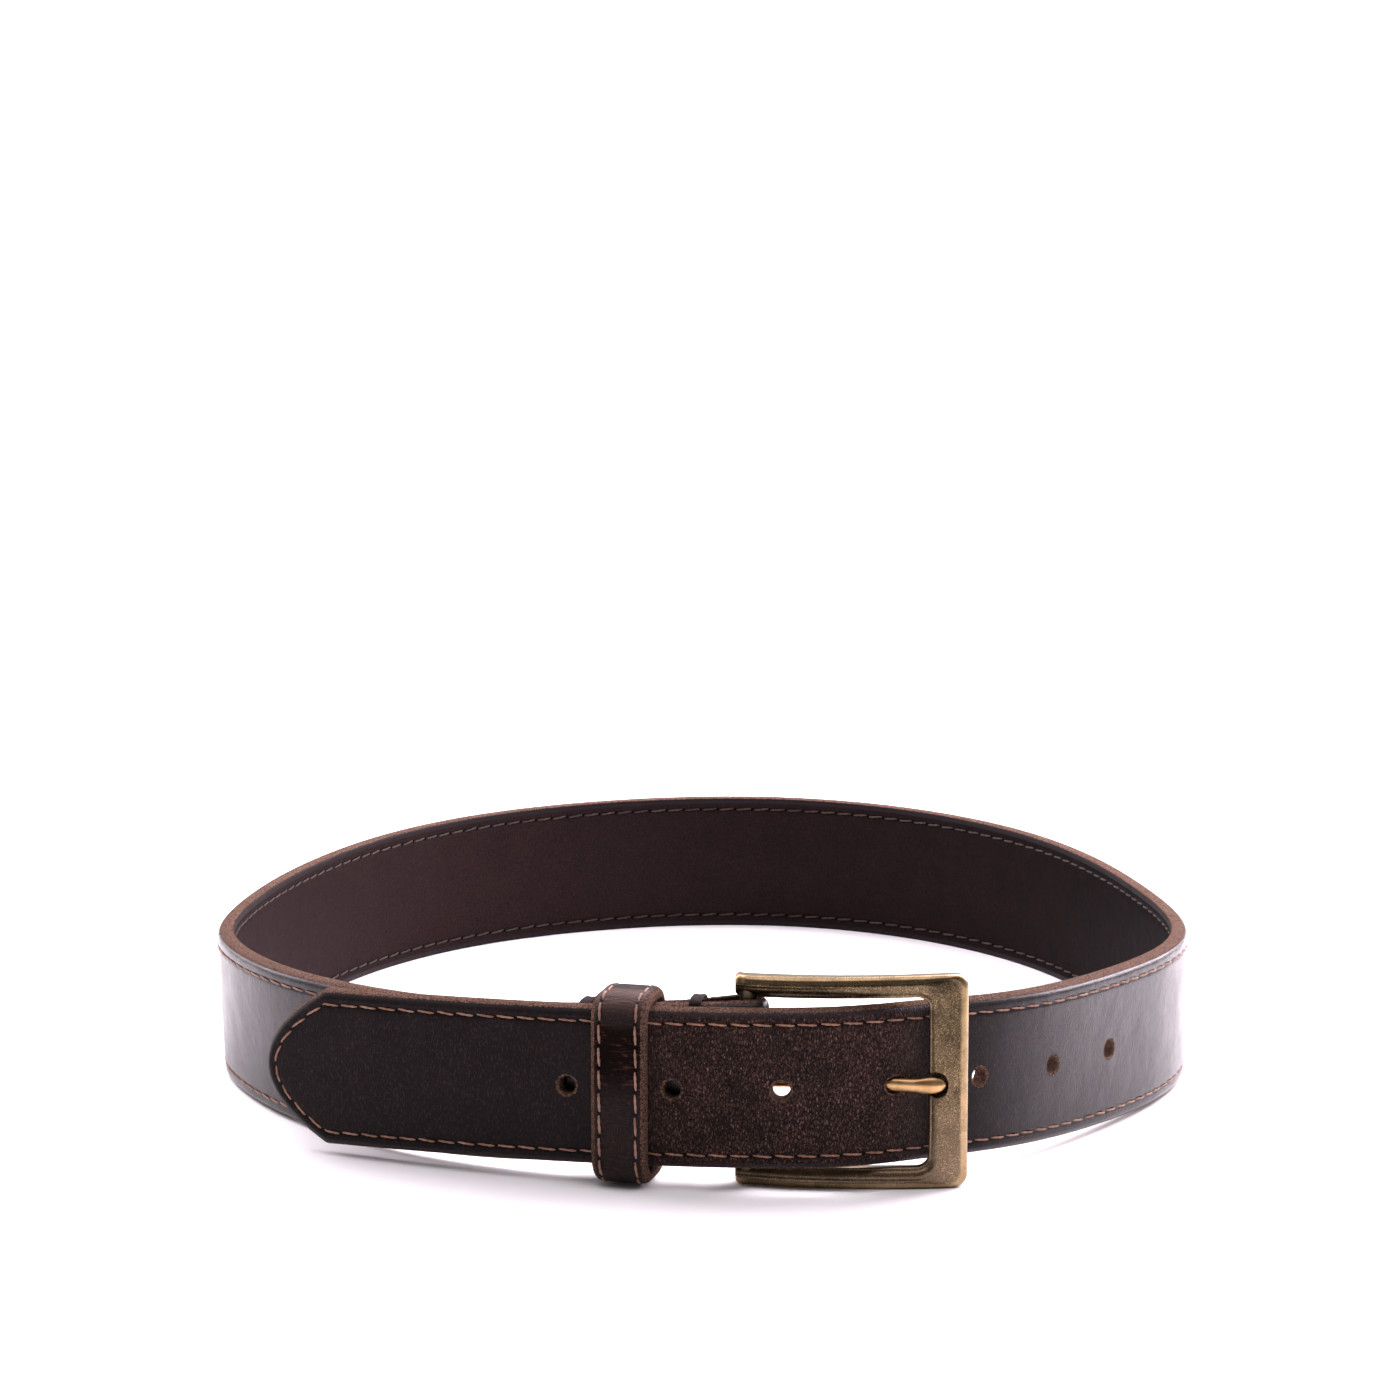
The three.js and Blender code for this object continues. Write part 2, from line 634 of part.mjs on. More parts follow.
// A wire staple across the slit, on the keeper's inner side, its legs through the leather.
function stapleSolid(extra) {
  const face = -keeperHalfDepth() - KEEPER_THICKNESS;
  const wire = STAPLE_WIRE / 2;
  const reach = STAPLE_SPAN / 2 + wire;
  const crownBack = face - TOUCH_GAP - STAPLE_WIRE / 2;
  const crown = solid(boxIn(keeper, [-wire, crownBack, -reach], [wire, face - TOUCH_GAP, reach]));
  const legs = [-1, 1].map((side) => {
    const middle = (side * STAPLE_SPAN) / 2;
    const low = [-wire - extra, crownBack, middle - wire - extra];
    const high = [wire + extra, face + STAPLE_LEG + extra, middle + wire + extra];
    return solid(boxIn(keeper, low, high));
  });
  return crown.add(legs[0]).add(legs[1]);
}

// ---------------------------------------------------------------- lacings of the fold

// A lashing of waxed lace over both edges of the buckle end and across the back of the folded end.
function foldLacing(offset) {
  const station = stationAt(strapFrame(KEEPER_STATION + offset).origin.x, BUCKLE_END_START);
  const frame = strapFrame(station);
  const half = LACING_WIDTH / 2;
  const tail = tailAt(HEEL_STATION - station - half).inward;
  const back = -tail - TOUCH_GAP - LACING_THICKNESS;
  const low = -TOUCH_GAP - LACING_THICKNESS;
  const high = STRAP_WIDTH - low;
  const block = solid(boxIn(frame, [-half, back, low], [half, LACING_WRAP, high]));
  const roomLow = [-LACING_WIDTH, -tail - TOUCH_GAP, -TOUCH_GAP];
  const roomHigh = [LACING_WIDTH, STRAP_THICKNESS, STRAP_WIDTH + TOUCH_GAP];
  return block.subtract(solid(boxIn(frame, roomLow, roomHigh)));
}

// ---------------------------------------------------------------- assembly

function strapSolid() {
  const cutters = [...holeCutters(), prongSlotCutter(), prongShank(PRONG_ROOM), edgeGroove(1), edgeGroove(-1)];
  return cutters.reduce((strap, cutter) => strap.subtract(cutter), strapBlank());
}

function piece(name, manifold, material) {
  const mesh = new THREE.Mesh(geometryOf(manifold), material);
  mesh.name = name;
  return mesh;
}

function strapGroup() {
  const group = new THREE.Group();
  group.add(piece("strap", strapSolid(), leather()));
  group.add(piece("edge_thread_grain_side", edgeThread(1), thread()));
  group.add(piece("edge_thread_flesh_side", edgeThread(-1), thread()));
  group.add(piece("fold_lacing_left", foldLacing(-LACING_LEFT), lacing()));
  group.add(piece("fold_lacing_right", foldLacing(LACING_RIGHT), lacing()));
  return group;
}

function buckleGroup() {
  const group = new THREE.Group();
  group.add(piece("buckle_frame", buckleFrame(), brass()));
  group.add(piece("heel_bar", heelBarSolid(BAR_RADIUS, 0), steel()));
  group.add(piece("prong", prongSolid(), brightBrass()));
  return group;
}

function keeperGroup() {
  const group = new THREE.Group();
  const threadOf = (side) =>
    keeperThread(side, THREAD_WIDTH, THREAD_SINK, THREAD_SINK + THREAD_DEPTH);
  group.add(piece("keeper_loop", keeperLoop(), keeperLeather()));
  group.add(piece("keeper_thread_left", threadOf(-1), thread()));
  group.add(piece("keeper_thread_right", threadOf(1), thread()));
  group.add(piece("keeper_staple", stapleSolid(0), steel()));
  return group;
}

// The origin is in the middle of the loop, on the floor.
function centred(group) {
  const box = new THREE.Box3().setFromObject(group);
  const middle = box.getCenter(new THREE.Vector3());
  group.position.set(-middle.x, -middle.y, -box.min.z);
  return group;
}

const pieces = new THREE.Group();
pieces.add(strapGroup(), buckleGroup(), keeperGroup());

const belt = new THREE.Group();
belt.add(centred(pieces));
export default belt;
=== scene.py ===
"""A leather belt, fastened on its middle hole and standing on its lower edge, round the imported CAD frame.

Shapes are worked out in millimetres, in the CAD's frame, and turned into metres when a mesh is made.
"""
import math

import bmesh
import bpy
import numpy as np
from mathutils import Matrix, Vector


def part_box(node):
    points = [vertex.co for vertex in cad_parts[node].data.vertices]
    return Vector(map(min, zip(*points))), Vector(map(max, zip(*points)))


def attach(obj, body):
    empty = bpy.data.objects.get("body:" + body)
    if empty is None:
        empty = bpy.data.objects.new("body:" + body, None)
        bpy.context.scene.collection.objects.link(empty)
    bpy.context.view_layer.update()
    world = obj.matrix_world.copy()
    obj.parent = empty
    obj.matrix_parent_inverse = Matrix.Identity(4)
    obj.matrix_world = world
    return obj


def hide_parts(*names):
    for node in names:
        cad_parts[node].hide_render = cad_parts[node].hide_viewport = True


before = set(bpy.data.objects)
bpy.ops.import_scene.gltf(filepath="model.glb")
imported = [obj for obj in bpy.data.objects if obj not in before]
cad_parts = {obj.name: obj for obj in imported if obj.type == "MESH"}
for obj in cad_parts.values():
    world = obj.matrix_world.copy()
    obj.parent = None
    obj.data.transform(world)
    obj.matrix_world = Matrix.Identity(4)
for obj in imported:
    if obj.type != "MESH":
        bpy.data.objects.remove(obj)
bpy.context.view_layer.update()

MM = 0.001
RANDOM = np.random.default_rng(7)

# ---- driving dimensions, as in the CAD except where a line says otherwise

STRAP_WIDTH = 38.0
HALF_WIDTH = STRAP_WIDTH / 2
STRAP_THICKNESS = 4.5
TIP_LENGTH = 16.5
TOUCH_GAP = 0.35
PLY_GAP = 0.9

HOLE_COUNT = 7
HOLE_PITCH = 25.4
FIRST_HOLE = 80.2
HOLE_RADIUS = 2.1
PRONG_HOLE = 3  # counted from 0
# Where the prong leaves the grain face and enters the flesh face, a little off the CAD's to clear it.
PRONG_HOLE_GRAIN = 157.9
PRONG_HOLE_FLESH = 152.9
PRONG_HOLE_HALF = 2.8

STITCH_INSET = 3.3
STITCH_PITCH = 5.15
STITCH_END = 52.0  # before the buckle's bar
THREAD_RADIUS = 0.25

FOLD_THICKNESS = 2.6
SKIVE_START = 32.0
SKIVE_END = 8.0
TAIL_LENGTH = 40.0
TAIL_THICKNESS = 2.2
TAIL_SETTLES = 20.0

BAR_RADIUS = 2.0
HEEL_X = 10.0
FRAME_HEIGHT = 50.4
FRAME_BACK = 3.1
FRAME_FRONT = 51.4
SIDE_BAR_HEIGHT = 5.2
SIDE_BAR_DEPTH = 4.6
FRONT_BAR_WIDTH = 9.1
FRONT_BAR_DEPTH = 3.8
FRAME_BOW = 3.5
FRAME_SLOPE = 0.08
FRAME_FLARE = 1.0
FRAME_CROWN = 1.1
NOTCH_HEIGHT = 6.4
NOTCH_LENGTH = 4.4
NOTCH_DEPTH = 2.4
NOTCH_EASE = 0.3
EAR_WALL = 1.55  # metal outside each end of the bar, and its gap
PRONG_HEIGHT = 3.1
PRONG_EYE_RADIUS = 4.2
SLOT_ROOM = 1.2
SLOT_BACK = 7.2

KEEPER_STATION = 93.6
KEEPER_WIDTH = 13.6
KEEPER_THICKNESS = 2.8
KEEPER_ROOM = 0.8
KEEPER_EDGE_ROOM = 1.1
KEEPER_DROP = 0.4
KEEPER_SAG = 0.12  # the real band hangs a little lower in its room than the CAD, which keeps it clear
KEEPER_SEAM = 0.3
KEEPER_STITCH_INSET = 2.4
STAPLE_SPAN = 8.0
STAPLE_RADIUS = 0.2  # thinner wire than the CAD's
STAPLE_LEG = 2.2

LACING_WIDTH = 3.0
LACING_THICKNESS = 0.9
LACING_LEFT = 9.4
LACING_RIGHT = 17.3

# Control points of the strap's route, from the tip round to the buckle end: x, y, the height of the
# lower edge over the floor, and how far the wall leans outwards, in degrees.
LOOP = [
    (-105, -100, 2, 0),
    (-42, -131, 4.5, 0),
    (28, -147, 6.5, 0),
    (48, -135, 6.2, 0),
    (75, -115, 3.5, 4),
    (101, -81, 1, 0),
    (125, -39, 0, 2),
    (119, 17, 0, -1),
    (97, 100, 0, -2),
    (25, 156, 0, -1),
    (-70, 126, 0, -2),
    (-112, 53, 0, -3),
    (-124, -18, 0, 1),
    (-117, -47, 0, 5),
    (-101, -79, 0.3, 4),
    (-75, -108, 1.5, 0),
]
BUCKLE_END_LIFTS = (2.5, 8.6, 8)

# Finish of the leather's edges, which the CAD leaves as plain bevels.
GRAIN_ROUND = (2.3, 1.9)  # how far the rounding reaches in, and how far it drops
RAW_REACH = (0.5, 0.15)  # how far the raw leather shows round the edge of each face
FLESH_ROUND = (0.8, 0.45)
EDGE_BULGE = 0.15
EDGE_ROUGH = 0.045
FAR = 9.0  # stands for anywhere well away from a stitch line
GROOVE_DEPTH = 0.3
GROOVE_HALF = 0.6
HOLE_RIM = 0.7
HOLE_RIM_DROP = 0.45
BORE_ROUGH = 0.03


# ---- small tools


def smooth(value, low, high):
    """0 at low, 1 at high, and level at both."""
    part = np.clip((np.asarray(value, float) - low) / (high - low), 0, 1)
    return part * part * (3 - 2 * part)


def unit(vectors):
    return vectors / np.linalg.norm(vectors, axis=-1, keepdims=True)


def distances(points):
    """How far along a row of points each of them lies."""
    return np.concatenate([[0], np.cumsum(np.linalg.norm(np.diff(points, axis=0), axis=1))])


def arc(first, last, count, half_across, half_up, across=0.0, up=0.0):
    """Points of an ellipse between two angles in degrees, both ends included."""
    turn = np.radians(np.linspace(first, last, count))
    return np.stack([across + half_across * np.cos(turn), up + half_up * np.sin(turn)], -1)


def evenly(anchors, step):
    """Values from the first anchor to the last, through every anchor, about a step apart."""
    runs = []
    for low, high in zip(anchors[:-1], anchors[1:]):
        count = max(1, round((high - low) / step))
        runs.append(np.linspace(low, high, count + 1)[:-1])
    return np.append(np.concatenate(runs), anchors[-1])


def grid_faces(rows, columns, start=0, wrap=False):
    """Quads over a grid of vertices, row by row. A wrapped grid joins its last column to its first."""
    i = np.arange(rows - 1)[:, None]
    j = np.arange(columns if wrap else columns - 1)[None, :]
    k = (j + 1) % columns
    corners = [i * columns + j, i * columns + k, (i + 1) * columns + k, (i + 1) * columns + j]
    shape = np.broadcast_shapes(*(c.shape for c in corners))
    return start + np.stack([np.broadcast_to(c, shape) for c in corners], -1).reshape(-1, 4)


def in_scene(name, data):
    piece = bpy.data.objects.new(name, data)
    bpy.context.scene.collection.objects.link(piece)
    return piece


class Shape:
    """Vertices in millimetres, faces and per-vertex numbers, gathered part by part and made into one mesh."""

    def __init__(self, *fields):
        self.points, self.faces, self.count = [], [], 0
        self.fields = {name: [] for name in fields}

    def add(self, points, faces, **values):
        points = np.asarray(points, float).reshape(-1, 3)
        self.faces += (np.asarray(faces) + self.count).tolist() if len(faces) else []
        self.points.append(points)
        self.count += len(points)
        for name, rows in self.fields.items():
            value = np.asarray(values.get(name, 0.0), float)
            rows.append(np.broadcast_to(value.reshape(-1) if value.ndim else value, len(points)))

    def tube(self, rings, **values):
        """A closed skin over a row of rings, each with the same number of points, capped at both ends."""
        rings = np.asarray(rings, float)
        rows, columns = rings.shape[:2]
        faces = grid_faces(rows, columns, wrap=True).tolist()
        start = self.count
        self.add(rings, faces, **values)
        self.faces.append([start + j for j in range(columns)][::-1])
        self.faces.append([start + (rows - 1) * columns + j for j in range(columns)])

    def object(self, name, weld=0.0):
        """The shape as an object; points closer than the weld, in millimetres, become one."""
        mesh = bpy.data.meshes.new(name)
        mesh.from_pydata((np.concatenate(self.points) * MM).tolist(), [], self.faces)
        for field, rows in self.fields.items():
            layer = mesh.attributes.new(field, "FLOAT", "POINT")
            layer.data.foreach_set("value", np.concatenate(rows).astype(np.float32))
        form = bmesh.new()
        form.from_mesh(mesh)
        bmesh.ops.remove_doubles(form, verts=form.verts, dist=weld * MM)
        bmesh.ops.delete(form, geom=[v for v in form.verts if not v.link_faces], context="VERTS")
        bmesh.ops.recalc_face_normals(form, faces=form.faces)
        form.to_mesh(mesh)
        form.free()
        mesh.polygons.foreach_set("use_smooth", [True] * len(mesh.polygons))
        return in_scene(name, mesh)

    def build(self, name, material, body, slot, *nodes, weld=0.002):
        """The shape as a visible piece of a body, in place of its CAD nodes."""
        piece = self.object(name, weld)
        piece.data.materials.append(material)
        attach(piece, body)
        if nodes:
            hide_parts(*nodes)
        return piece


# ---- the strap's route


def buckle_end_points():
    """The tip ply's control points again, moved in behind it by one ply and a gap."""
    rows = np.array(LOOP, float)
    made = []
    for i, lift in enumerate(BUCKLE_END_LIFTS):
        along = unit(rows[i + 2, :2] - rows[i, :2])
        inward = np.array([-along[1], along[0]]) * (STRAP_THICKNESS + PLY_GAP)
        made.append([*(rows[i + 1, :2] + inward), lift, 0])
    return made


def sampled_route(samples=4000):
    """A uniform cubic B-spline: rows of x, y, lift and lean, and their distance along."""
    rows = np.array([*LOOP, *buckle_end_points()], float)
    padded = np.vstack([2 * rows[0] - rows[1], rows, 2 * rows[-1] - rows[-2]])
    u = np.linspace(0, len(rows) - 1, samples + 1)
    i = np.minimum(u.astype(int), len(rows) - 2)
    f = (u - i)[:, None]
    weights = [(1 - f) ** 3, 3 * f**3 - 6 * f**2 + 4, -3 * f**3 + 3 * f**2 + 3 * f + 1, f**3]
    made = sum(w / 6 * padded[i + j] for j, w in enumerate(weights))
    return made, distances(made[:, :2])


ROUTE, LENGTH = sampled_route()


def route_value(station, column):
    return np.interp(station, LENGTH, ROUTE[:, column])


def route_frame(station):
    """Origin at mid thickness on the lower edge; the directions along, out of the grain face, and up."""
    station = np.asarray(station, float)
    slope = np.gradient(ROUTE[:, :2], LENGTH, axis=0)
    along = unit(np.stack([np.interp(station, LENGTH, slope[:, k]) for k in (0, 1)], -1))
    lean = np.radians(route_value(station, 3))[..., None]
    zero = np.zeros_like(station)[..., None]
    out = np.concatenate([along[..., 1:], -along[..., :1], zero], -1)
    floor_up = np.array([0, 0, 1.0])
    up = floor_up * np.cos(lean) + out * np.sin(lean)
    face = out * np.cos(lean) - floor_up * np.sin(lean)
    lift = route_value(station, 2) + np.abs(np.sin(lean[..., 0])) * STRAP_THICKNESS / 2
    origin = np.stack([route_value(station, 0), route_value(station, 1), lift], -1)
    return origin + SHIFT, np.concatenate([along, zero], -1), face, up


def station_at(x, first):
    """The distance along the strap, beyond `first`, at which it crosses a value of x."""
    beyond = (LENGTH > first) & (ROUTE[:, 0] >= x)
    return LENGTH[np.argmax(beyond)]


BUCKLE_END_START = 800
SHIFT = np.zeros(3)
HEEL = station_at(HEEL_X, BUCKLE_END_START)
FOLD_RADIUS = BAR_RADIUS + TOUCH_GAP + FOLD_THICKNESS
FOLD_ARC = math.pi * (FOLD_RADIUS - FOLD_THICKNESS / 2)


def heel_axis():
    """A point on the bar's axis at mid height, from the route, before the part is centred."""
    origin, _, out, _ = route_frame(HEEL)
    point = origin + out * (STRAP_THICKNESS / 2 - FOLD_RADIUS)
    point[2] = FRAME_HEIGHT / 2
    return point


# The CAD centres the belt on its origin; its bar says by how much.
bar_low, bar_high = (np.array(corner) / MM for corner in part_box("heel_bar"))
BAR = (bar_low + bar_high) / 2
SHIFT = (BAR - heel_axis()) * np.array([1, 1, 0])
_, HEEL_ALONG, HEEL_OUT, HEEL_UP = route_frame(HEEL)
STRAP_END = HEEL + FOLD_ARC + TAIL_LENGTH


def tail_at(back):
    """The folded end's thickness, and how far in its free face lies from the middle of the ply outside it."""
    back = np.clip(back, 0, TAIL_LENGTH)
    thick = FOLD_THICKNESS + (TAIL_THICKNESS - FOLD_THICKNESS) * back / TAIL_LENGTH
    rest = thickness_at(HEEL - back) - STRAP_THICKNESS / 2 + TOUCH_GAP + thick
    at_bar = 2 * FOLD_RADIUS - STRAP_THICKNESS / 2
    return thick, at_bar + (rest - at_bar) * smooth(back, 0, TAIL_SETTLES)


def thickness_at(station):
    skived = smooth(station, HEEL - SKIVE_START, HEEL - SKIVE_END)
    return STRAP_THICKNESS + (FOLD_THICKNESS - STRAP_THICKNESS) * skived


def place(t, w, depth, lift=0.0):
    """Points of the strap: t along it, through the fold and the folded end; w up its width; depth a share
    of its thickness, 0 on the grain face and 1 on the flesh face; lift millimetres out of the grain face."""
    t, w, depth, lift = np.broadcast_arrays(*(np.asarray(v, float) for v in (t, w, depth, lift)))
    back = t - HEEL - FOLD_ARC
    tail, fold = back >= 0, (t > HEEL) & (back < 0)
    origin, along, out, up = route_frame(np.where(tail, HEEL - back, np.minimum(t, HEEL)))
    origin = origin + along * np.minimum(t, 0)[..., None]
    out = np.where(tail[..., None], -out, out)
    tail_thick, tail_in = tail_at(back)
    grain = np.where(tail, tail_in, STRAP_THICKNESS / 2)
    thick = np.where(tail, tail_thick, thickness_at(t))
    turn = ((t - HEEL) / FOLD_ARC * math.pi)[..., None]
    round_out = HEEL_OUT * np.cos(turn) + HEEL_ALONG * np.sin(turn)
    round_origin = np.array([BAR[0], BAR[1], route_value(HEEL, 2)])
    origin = np.where(fold[..., None], round_origin, origin)
    out = np.where(fold[..., None], round_out, out)
    up = np.where(fold[..., None], HEEL_UP, up)
    grain = np.where(fold, FOLD_RADIUS, grain)
    thick = np.where(fold, FOLD_THICKNESS, thick)
    return origin + out * (grain - depth * thick + lift)[..., None] + up * w[..., None]


# ---- the strap's outline and its stitch line

TIP_CURVE = TIP_LENGTH / HALF_WIDTH**2  # the tip's outline is t = TIP_CURVE * (w - HALF_WIDTH)**2
TIP_BLEND = 40.0  # the rows of the mesh follow the tip's outline at first, and are straight from here


def tip_distance(t, w):
    v = w - HALF_WIDTH
    return (t - TIP_CURVE * v**2) / np.sqrt(1 + (2 * TIP_CURVE * v) ** 2)


def edge_distance(t, w):
    """How far a point of either face lies in from the strap's outline."""
    sides = np.minimum(w, STRAP_WIDTH - w)
    return np.minimum.reduce([sides, tip_distance(t, w), STRAP_END - t])


STITCH_HALF = HALF_WIDTH - STITCH_INSET


def tip_stitch_station(v):
    return TIP_CURVE * v**2 + STITCH_INSET * np.sqrt(1 + (2 * TIP_CURVE * v) ** 2)


TIP_STITCH_V = np.linspace(0, STITCH_HALF, 200)
TIP_STITCH_T = tip_stitch_station(TIP_STITCH_V)
TIP_STITCH_RUN = distances(np.stack([TIP_STITCH_V, TIP_STITCH_T], -1))
STITCH_SHOULDER, RUN_SHOULDER = TIP_STITCH_T[-1], TIP_STITCH_RUN[-1]
STITCH_LAST = HEEL - STITCH_END


def stitch_fields(t, w):
    """Distance from the stitch line, and distance along it from the tip's point, at points of a face."""
    v = np.abs(w - HALF_WIDTH)
    sides, tip = HALF_WIDTH - v, tip_distance(t, w)
    on_tip = tip < sides
    gap = np.where(on_tip, tip, sides) - STITCH_INSET
    curved = np.interp(v, TIP_STITCH_V, TIP_STITCH_RUN)
    straight = RUN_SHOULDER + np.maximum(t - STITCH_SHOULDER, 0)
    gap = np.where(t > STITCH_LAST, FAR, gap)
    return gap, np.where(on_tip, curved, straight)


def stitch_point(run, side):
    """Where the stitch line is at a distance from the tip's point, on the upper or the lower side."""
    run = np.asarray(run, float)
    on_tip = np.interp(run, TIP_STITCH_RUN, TIP_STITCH_T)
    t = np.where(run < RUN_SHOULDER, on_tip, STITCH_SHOULDER + run - RUN_SHOULDER)
    return t, HALF_WIDTH + side * np.interp(run, TIP_STITCH_RUN, TIP_STITCH_V)


# ---- strap

PATCH = 4.0  # half the side of the square of mesh round a hole


def hole_centres(face):
    """Stations of the holes on the grain face (0) or the flesh face (1)."""
    made = FIRST_HOLE + HOLE_PITCH * np.arange(HOLE_COUNT)
    made[PRONG_HOLE] = PRONG_HOLE_FLESH if face else PRONG_HOLE_GRAIN
    return made


def strap_rows():
    anchors = {0, 3, TIP_BLEND, STITCH_LAST, HEEL - SLOT_BACK, HEEL, HEEL + FOLD_ARC}
    anchors |= {HEEL + FOLD_ARC + SLOT_BACK, STRAP_END - FLESH_ROUND[0], STRAP_END}
    for face in (0, 1):
        for centre in hole_centres(face):
            anchors |= {centre - PATCH, centre + PATCH}
    return evenly(sorted(anchors), 0.8)


def slot_heights():
    middle = FRAME_HEIGHT / 2 - route_value(HEEL, 2)
    half = PRONG_HEIGHT / 2 + SLOT_ROOM
    return middle - half, middle + half


def strap_columns():
    low, high = slot_heights()
    edge = [0, 0.1, 0.25, 0.45, 0.7, 1.0, 1.4, 1.85, 2.3]
    groove = np.linspace(2.3, 4.3, 9)[1:]
    lower = [*edge, *groove, *np.linspace(4.3, HALF_WIDTH - PATCH, 11)[1:]]
    middle = [*np.linspace(HALF_WIDTH - PATCH, low, 4)[1:], *np.linspace(low, high, 7)[1:]]
    return np.array([*lower, *middle, HALF_WIDTH + PATCH, *(STRAP_WIDTH - np.array(lower[:-1][::-1]))])


def rounding(distance, reach, drop):
    """How far a face has fallen towards a rounded edge, at a distance in from it."""
    part = 1 - np.clip(distance / reach, 0, 1)
    return drop * (1 - np.sqrt(np.maximum(1 - part**2, 0)))


def face_lift(t, w, face):
    """How far the real surface stands off the ideal face, positive out of the grain side."""
    reach, drop = FLESH_ROUND if face else GRAIN_ROUND
    gap, _ = stitch_fields(t, w)
    groove = GROOVE_DEPTH * np.exp(-((gap / GROOVE_HALF) ** 2))
    fall = rounding(edge_distance(t, w), reach, drop) + groove
    return fall if face else -fall


def face_values(t, w, raw=0.0, flesh=0.0):
    gap, run = stitch_fields(t, w)
    values = {"gap": gap, "run": run, "edge": edge_distance(t, w), "along": t}
    return values | {"raw": np.broadcast_to(raw, np.shape(t)), "flesh": np.broadcast_to(flesh, np.shape(t))}


def face_grid(shape, rows, columns, face):
    """One face of the strap, with squares left out for the holes, and the slot left out at the fold."""
    tip = TIP_CURVE * (columns[None, :] - HALF_WIDTH) ** 2
    start = rows[:, None] + tip * (1 - smooth(rows, 0, TIP_BLEND))[:, None]
    w = np.broadcast_to(columns, start.shape)
    quads = grid_faces(len(rows), len(columns)).reshape(len(rows) - 1, len(columns) - 1, 4)
    keep = np.ones(quads.shape[:2], bool)
    mid_rows, mid_columns = (rows[1:] + rows[:-1]) / 2, (columns[1:] + columns[:-1]) / 2
    patch_columns = np.abs(mid_columns - HALF_WIDTH) < PATCH
    for centre in hole_centres(face):
        keep &= ~(np.abs(mid_rows - centre) < PATCH)[:, None] | ~patch_columns
    keep &= ~slot_cells(mid_rows, mid_columns)
    points = place(start, w, face, face_lift(start, w, face))
    reach = RAW_REACH[face]
    raw = 1 - smooth(edge_distance(start, w), 0.5 * reach, 1.5 * reach)
    shape.add(points, quads[keep], **face_values(start, w, raw, face))


def slot_cells(t, w):
    low, high = slot_heights()
    inside = (t > HEEL - SLOT_BACK) & (t < HEEL + FOLD_ARC + SLOT_BACK)
    return inside[:, None] & ((w > low) & (w < high))[None, :]


def strap_outline(rows, columns):
    """The strap's outline once round (lower side, folded end, upper side, tip), and the way outwards."""
    side = rows + TIP_LENGTH * (1 - smooth(rows, 0, TIP_BLEND))
    across = columns[1:-1]
    tip = TIP_CURVE * (across - HALF_WIDTH)[::-1] ** 2
    t = np.concatenate([side, np.full(len(across), STRAP_END), side[::-1], tip])
    w = np.concatenate([np.zeros(len(side)), across, np.full(len(side), STRAP_WIDTH), across[::-1]])
    slope = unit(np.stack([np.roll(t, -1) - np.roll(t, 1), np.roll(w, -1) - np.roll(w, 1)], -1))
    return t, w, slope[:, 1], -slope[:, 0]


def strap_wall(shape, rows, columns):
    """The raw cut edge between the two faces, all round the strap."""
    t, w, out_t, out_w = strap_outline(rows, columns)
    share = np.linspace(0, 1, 9)[:, None]
    rough = RANDOM.normal(0, EDGE_ROUGH, (len(share), len(t)))
    bulge = (EDGE_BULGE + rough) * np.sin(math.pi * share)
    depth = share + np.zeros_like(bulge)
    lift = -GRAIN_ROUND[1] + (GRAIN_ROUND[1] + FLESH_ROUND[1]) * depth
    values = face_values(t + out_t * bulge, w + out_w * bulge, 1.0)
    values["gap"] = np.full(depth.shape, FAR)
    points = place(t + out_t * bulge, w + out_w * bulge, depth, lift)
    shape.add(points, grid_faces(*depth.shape, wrap=True), **values)


def ring_round(t, w):
    """The grid points on the border of a rectangle of rows and columns, once round."""
    ones_t, ones_w = np.ones(len(t) - 1), np.ones(len(w) - 1)
    ring_t = [t[:-1], ones_w * t[-1], t[:0:-1], ones_w * t[0]]
    ring_w = [ones_t * w[0], w[:-1], ones_t * w[-1], w[:0:-1]]
    return np.concatenate(ring_t), np.concatenate(ring_w)


def hole_circle(ring_t, ring_w, centre, half):
    """For each point of the square ring, the point of the hole's rim in the same direction."""
    angle = np.arctan2(ring_w - HALF_WIDTH, ring_t - centre)
    return np.stack([centre + half * np.cos(angle), HALF_WIDTH + HOLE_RADIUS * np.sin(angle)])


# A mouth's rings, from the square of mesh (0) to the start of the rim's round (1) to the rim (2).
MOUTH_STEPS = np.array([0, 0.3, 0.6, 0.85, 1, 1.35, 1.7, 2])
MOUTH_DROP = np.array([0, 0, 0, 0, 0, 0.06, 0.3, 1])
MOUTH_RAW = np.array([0, 0, 0, 0, 0.4, 0.8, 1, 1])


def hole_mouth(rows, columns, index, face):
    """Rings of one mouth of a hole, from the square of mesh in to its rim: t, w, lift and how raw."""
    half = PRONG_HOLE_HALF if index == PRONG_HOLE else HOLE_RADIUS
    centre = hole_centres(face)[index]
    square = rows[np.abs(rows - centre) < PATCH + 1e-6], columns[np.abs(columns - HALF_WIDTH) < PATCH + 1e-6]
    ring = np.stack(ring_round(*square))
    rim = hole_circle(*ring, centre, half)
    outer = rim + (rim - [[centre], [HALF_WIDTH]]) / half * HOLE_RIM
    part = MOUTH_STEPS[:, None, None]
    points = np.where(part <= 1, ring + (outer - ring) * part, outer + (rim - outer) * (part - 1))
    t, w = points.swapaxes(0, 1)
    lift = MOUTH_DROP[:, None] * HOLE_RIM_DROP * (1 if face else -1) + np.zeros_like(t)
    return t, w, lift, MOUTH_RAW[:, None] + np.zeros_like(t)


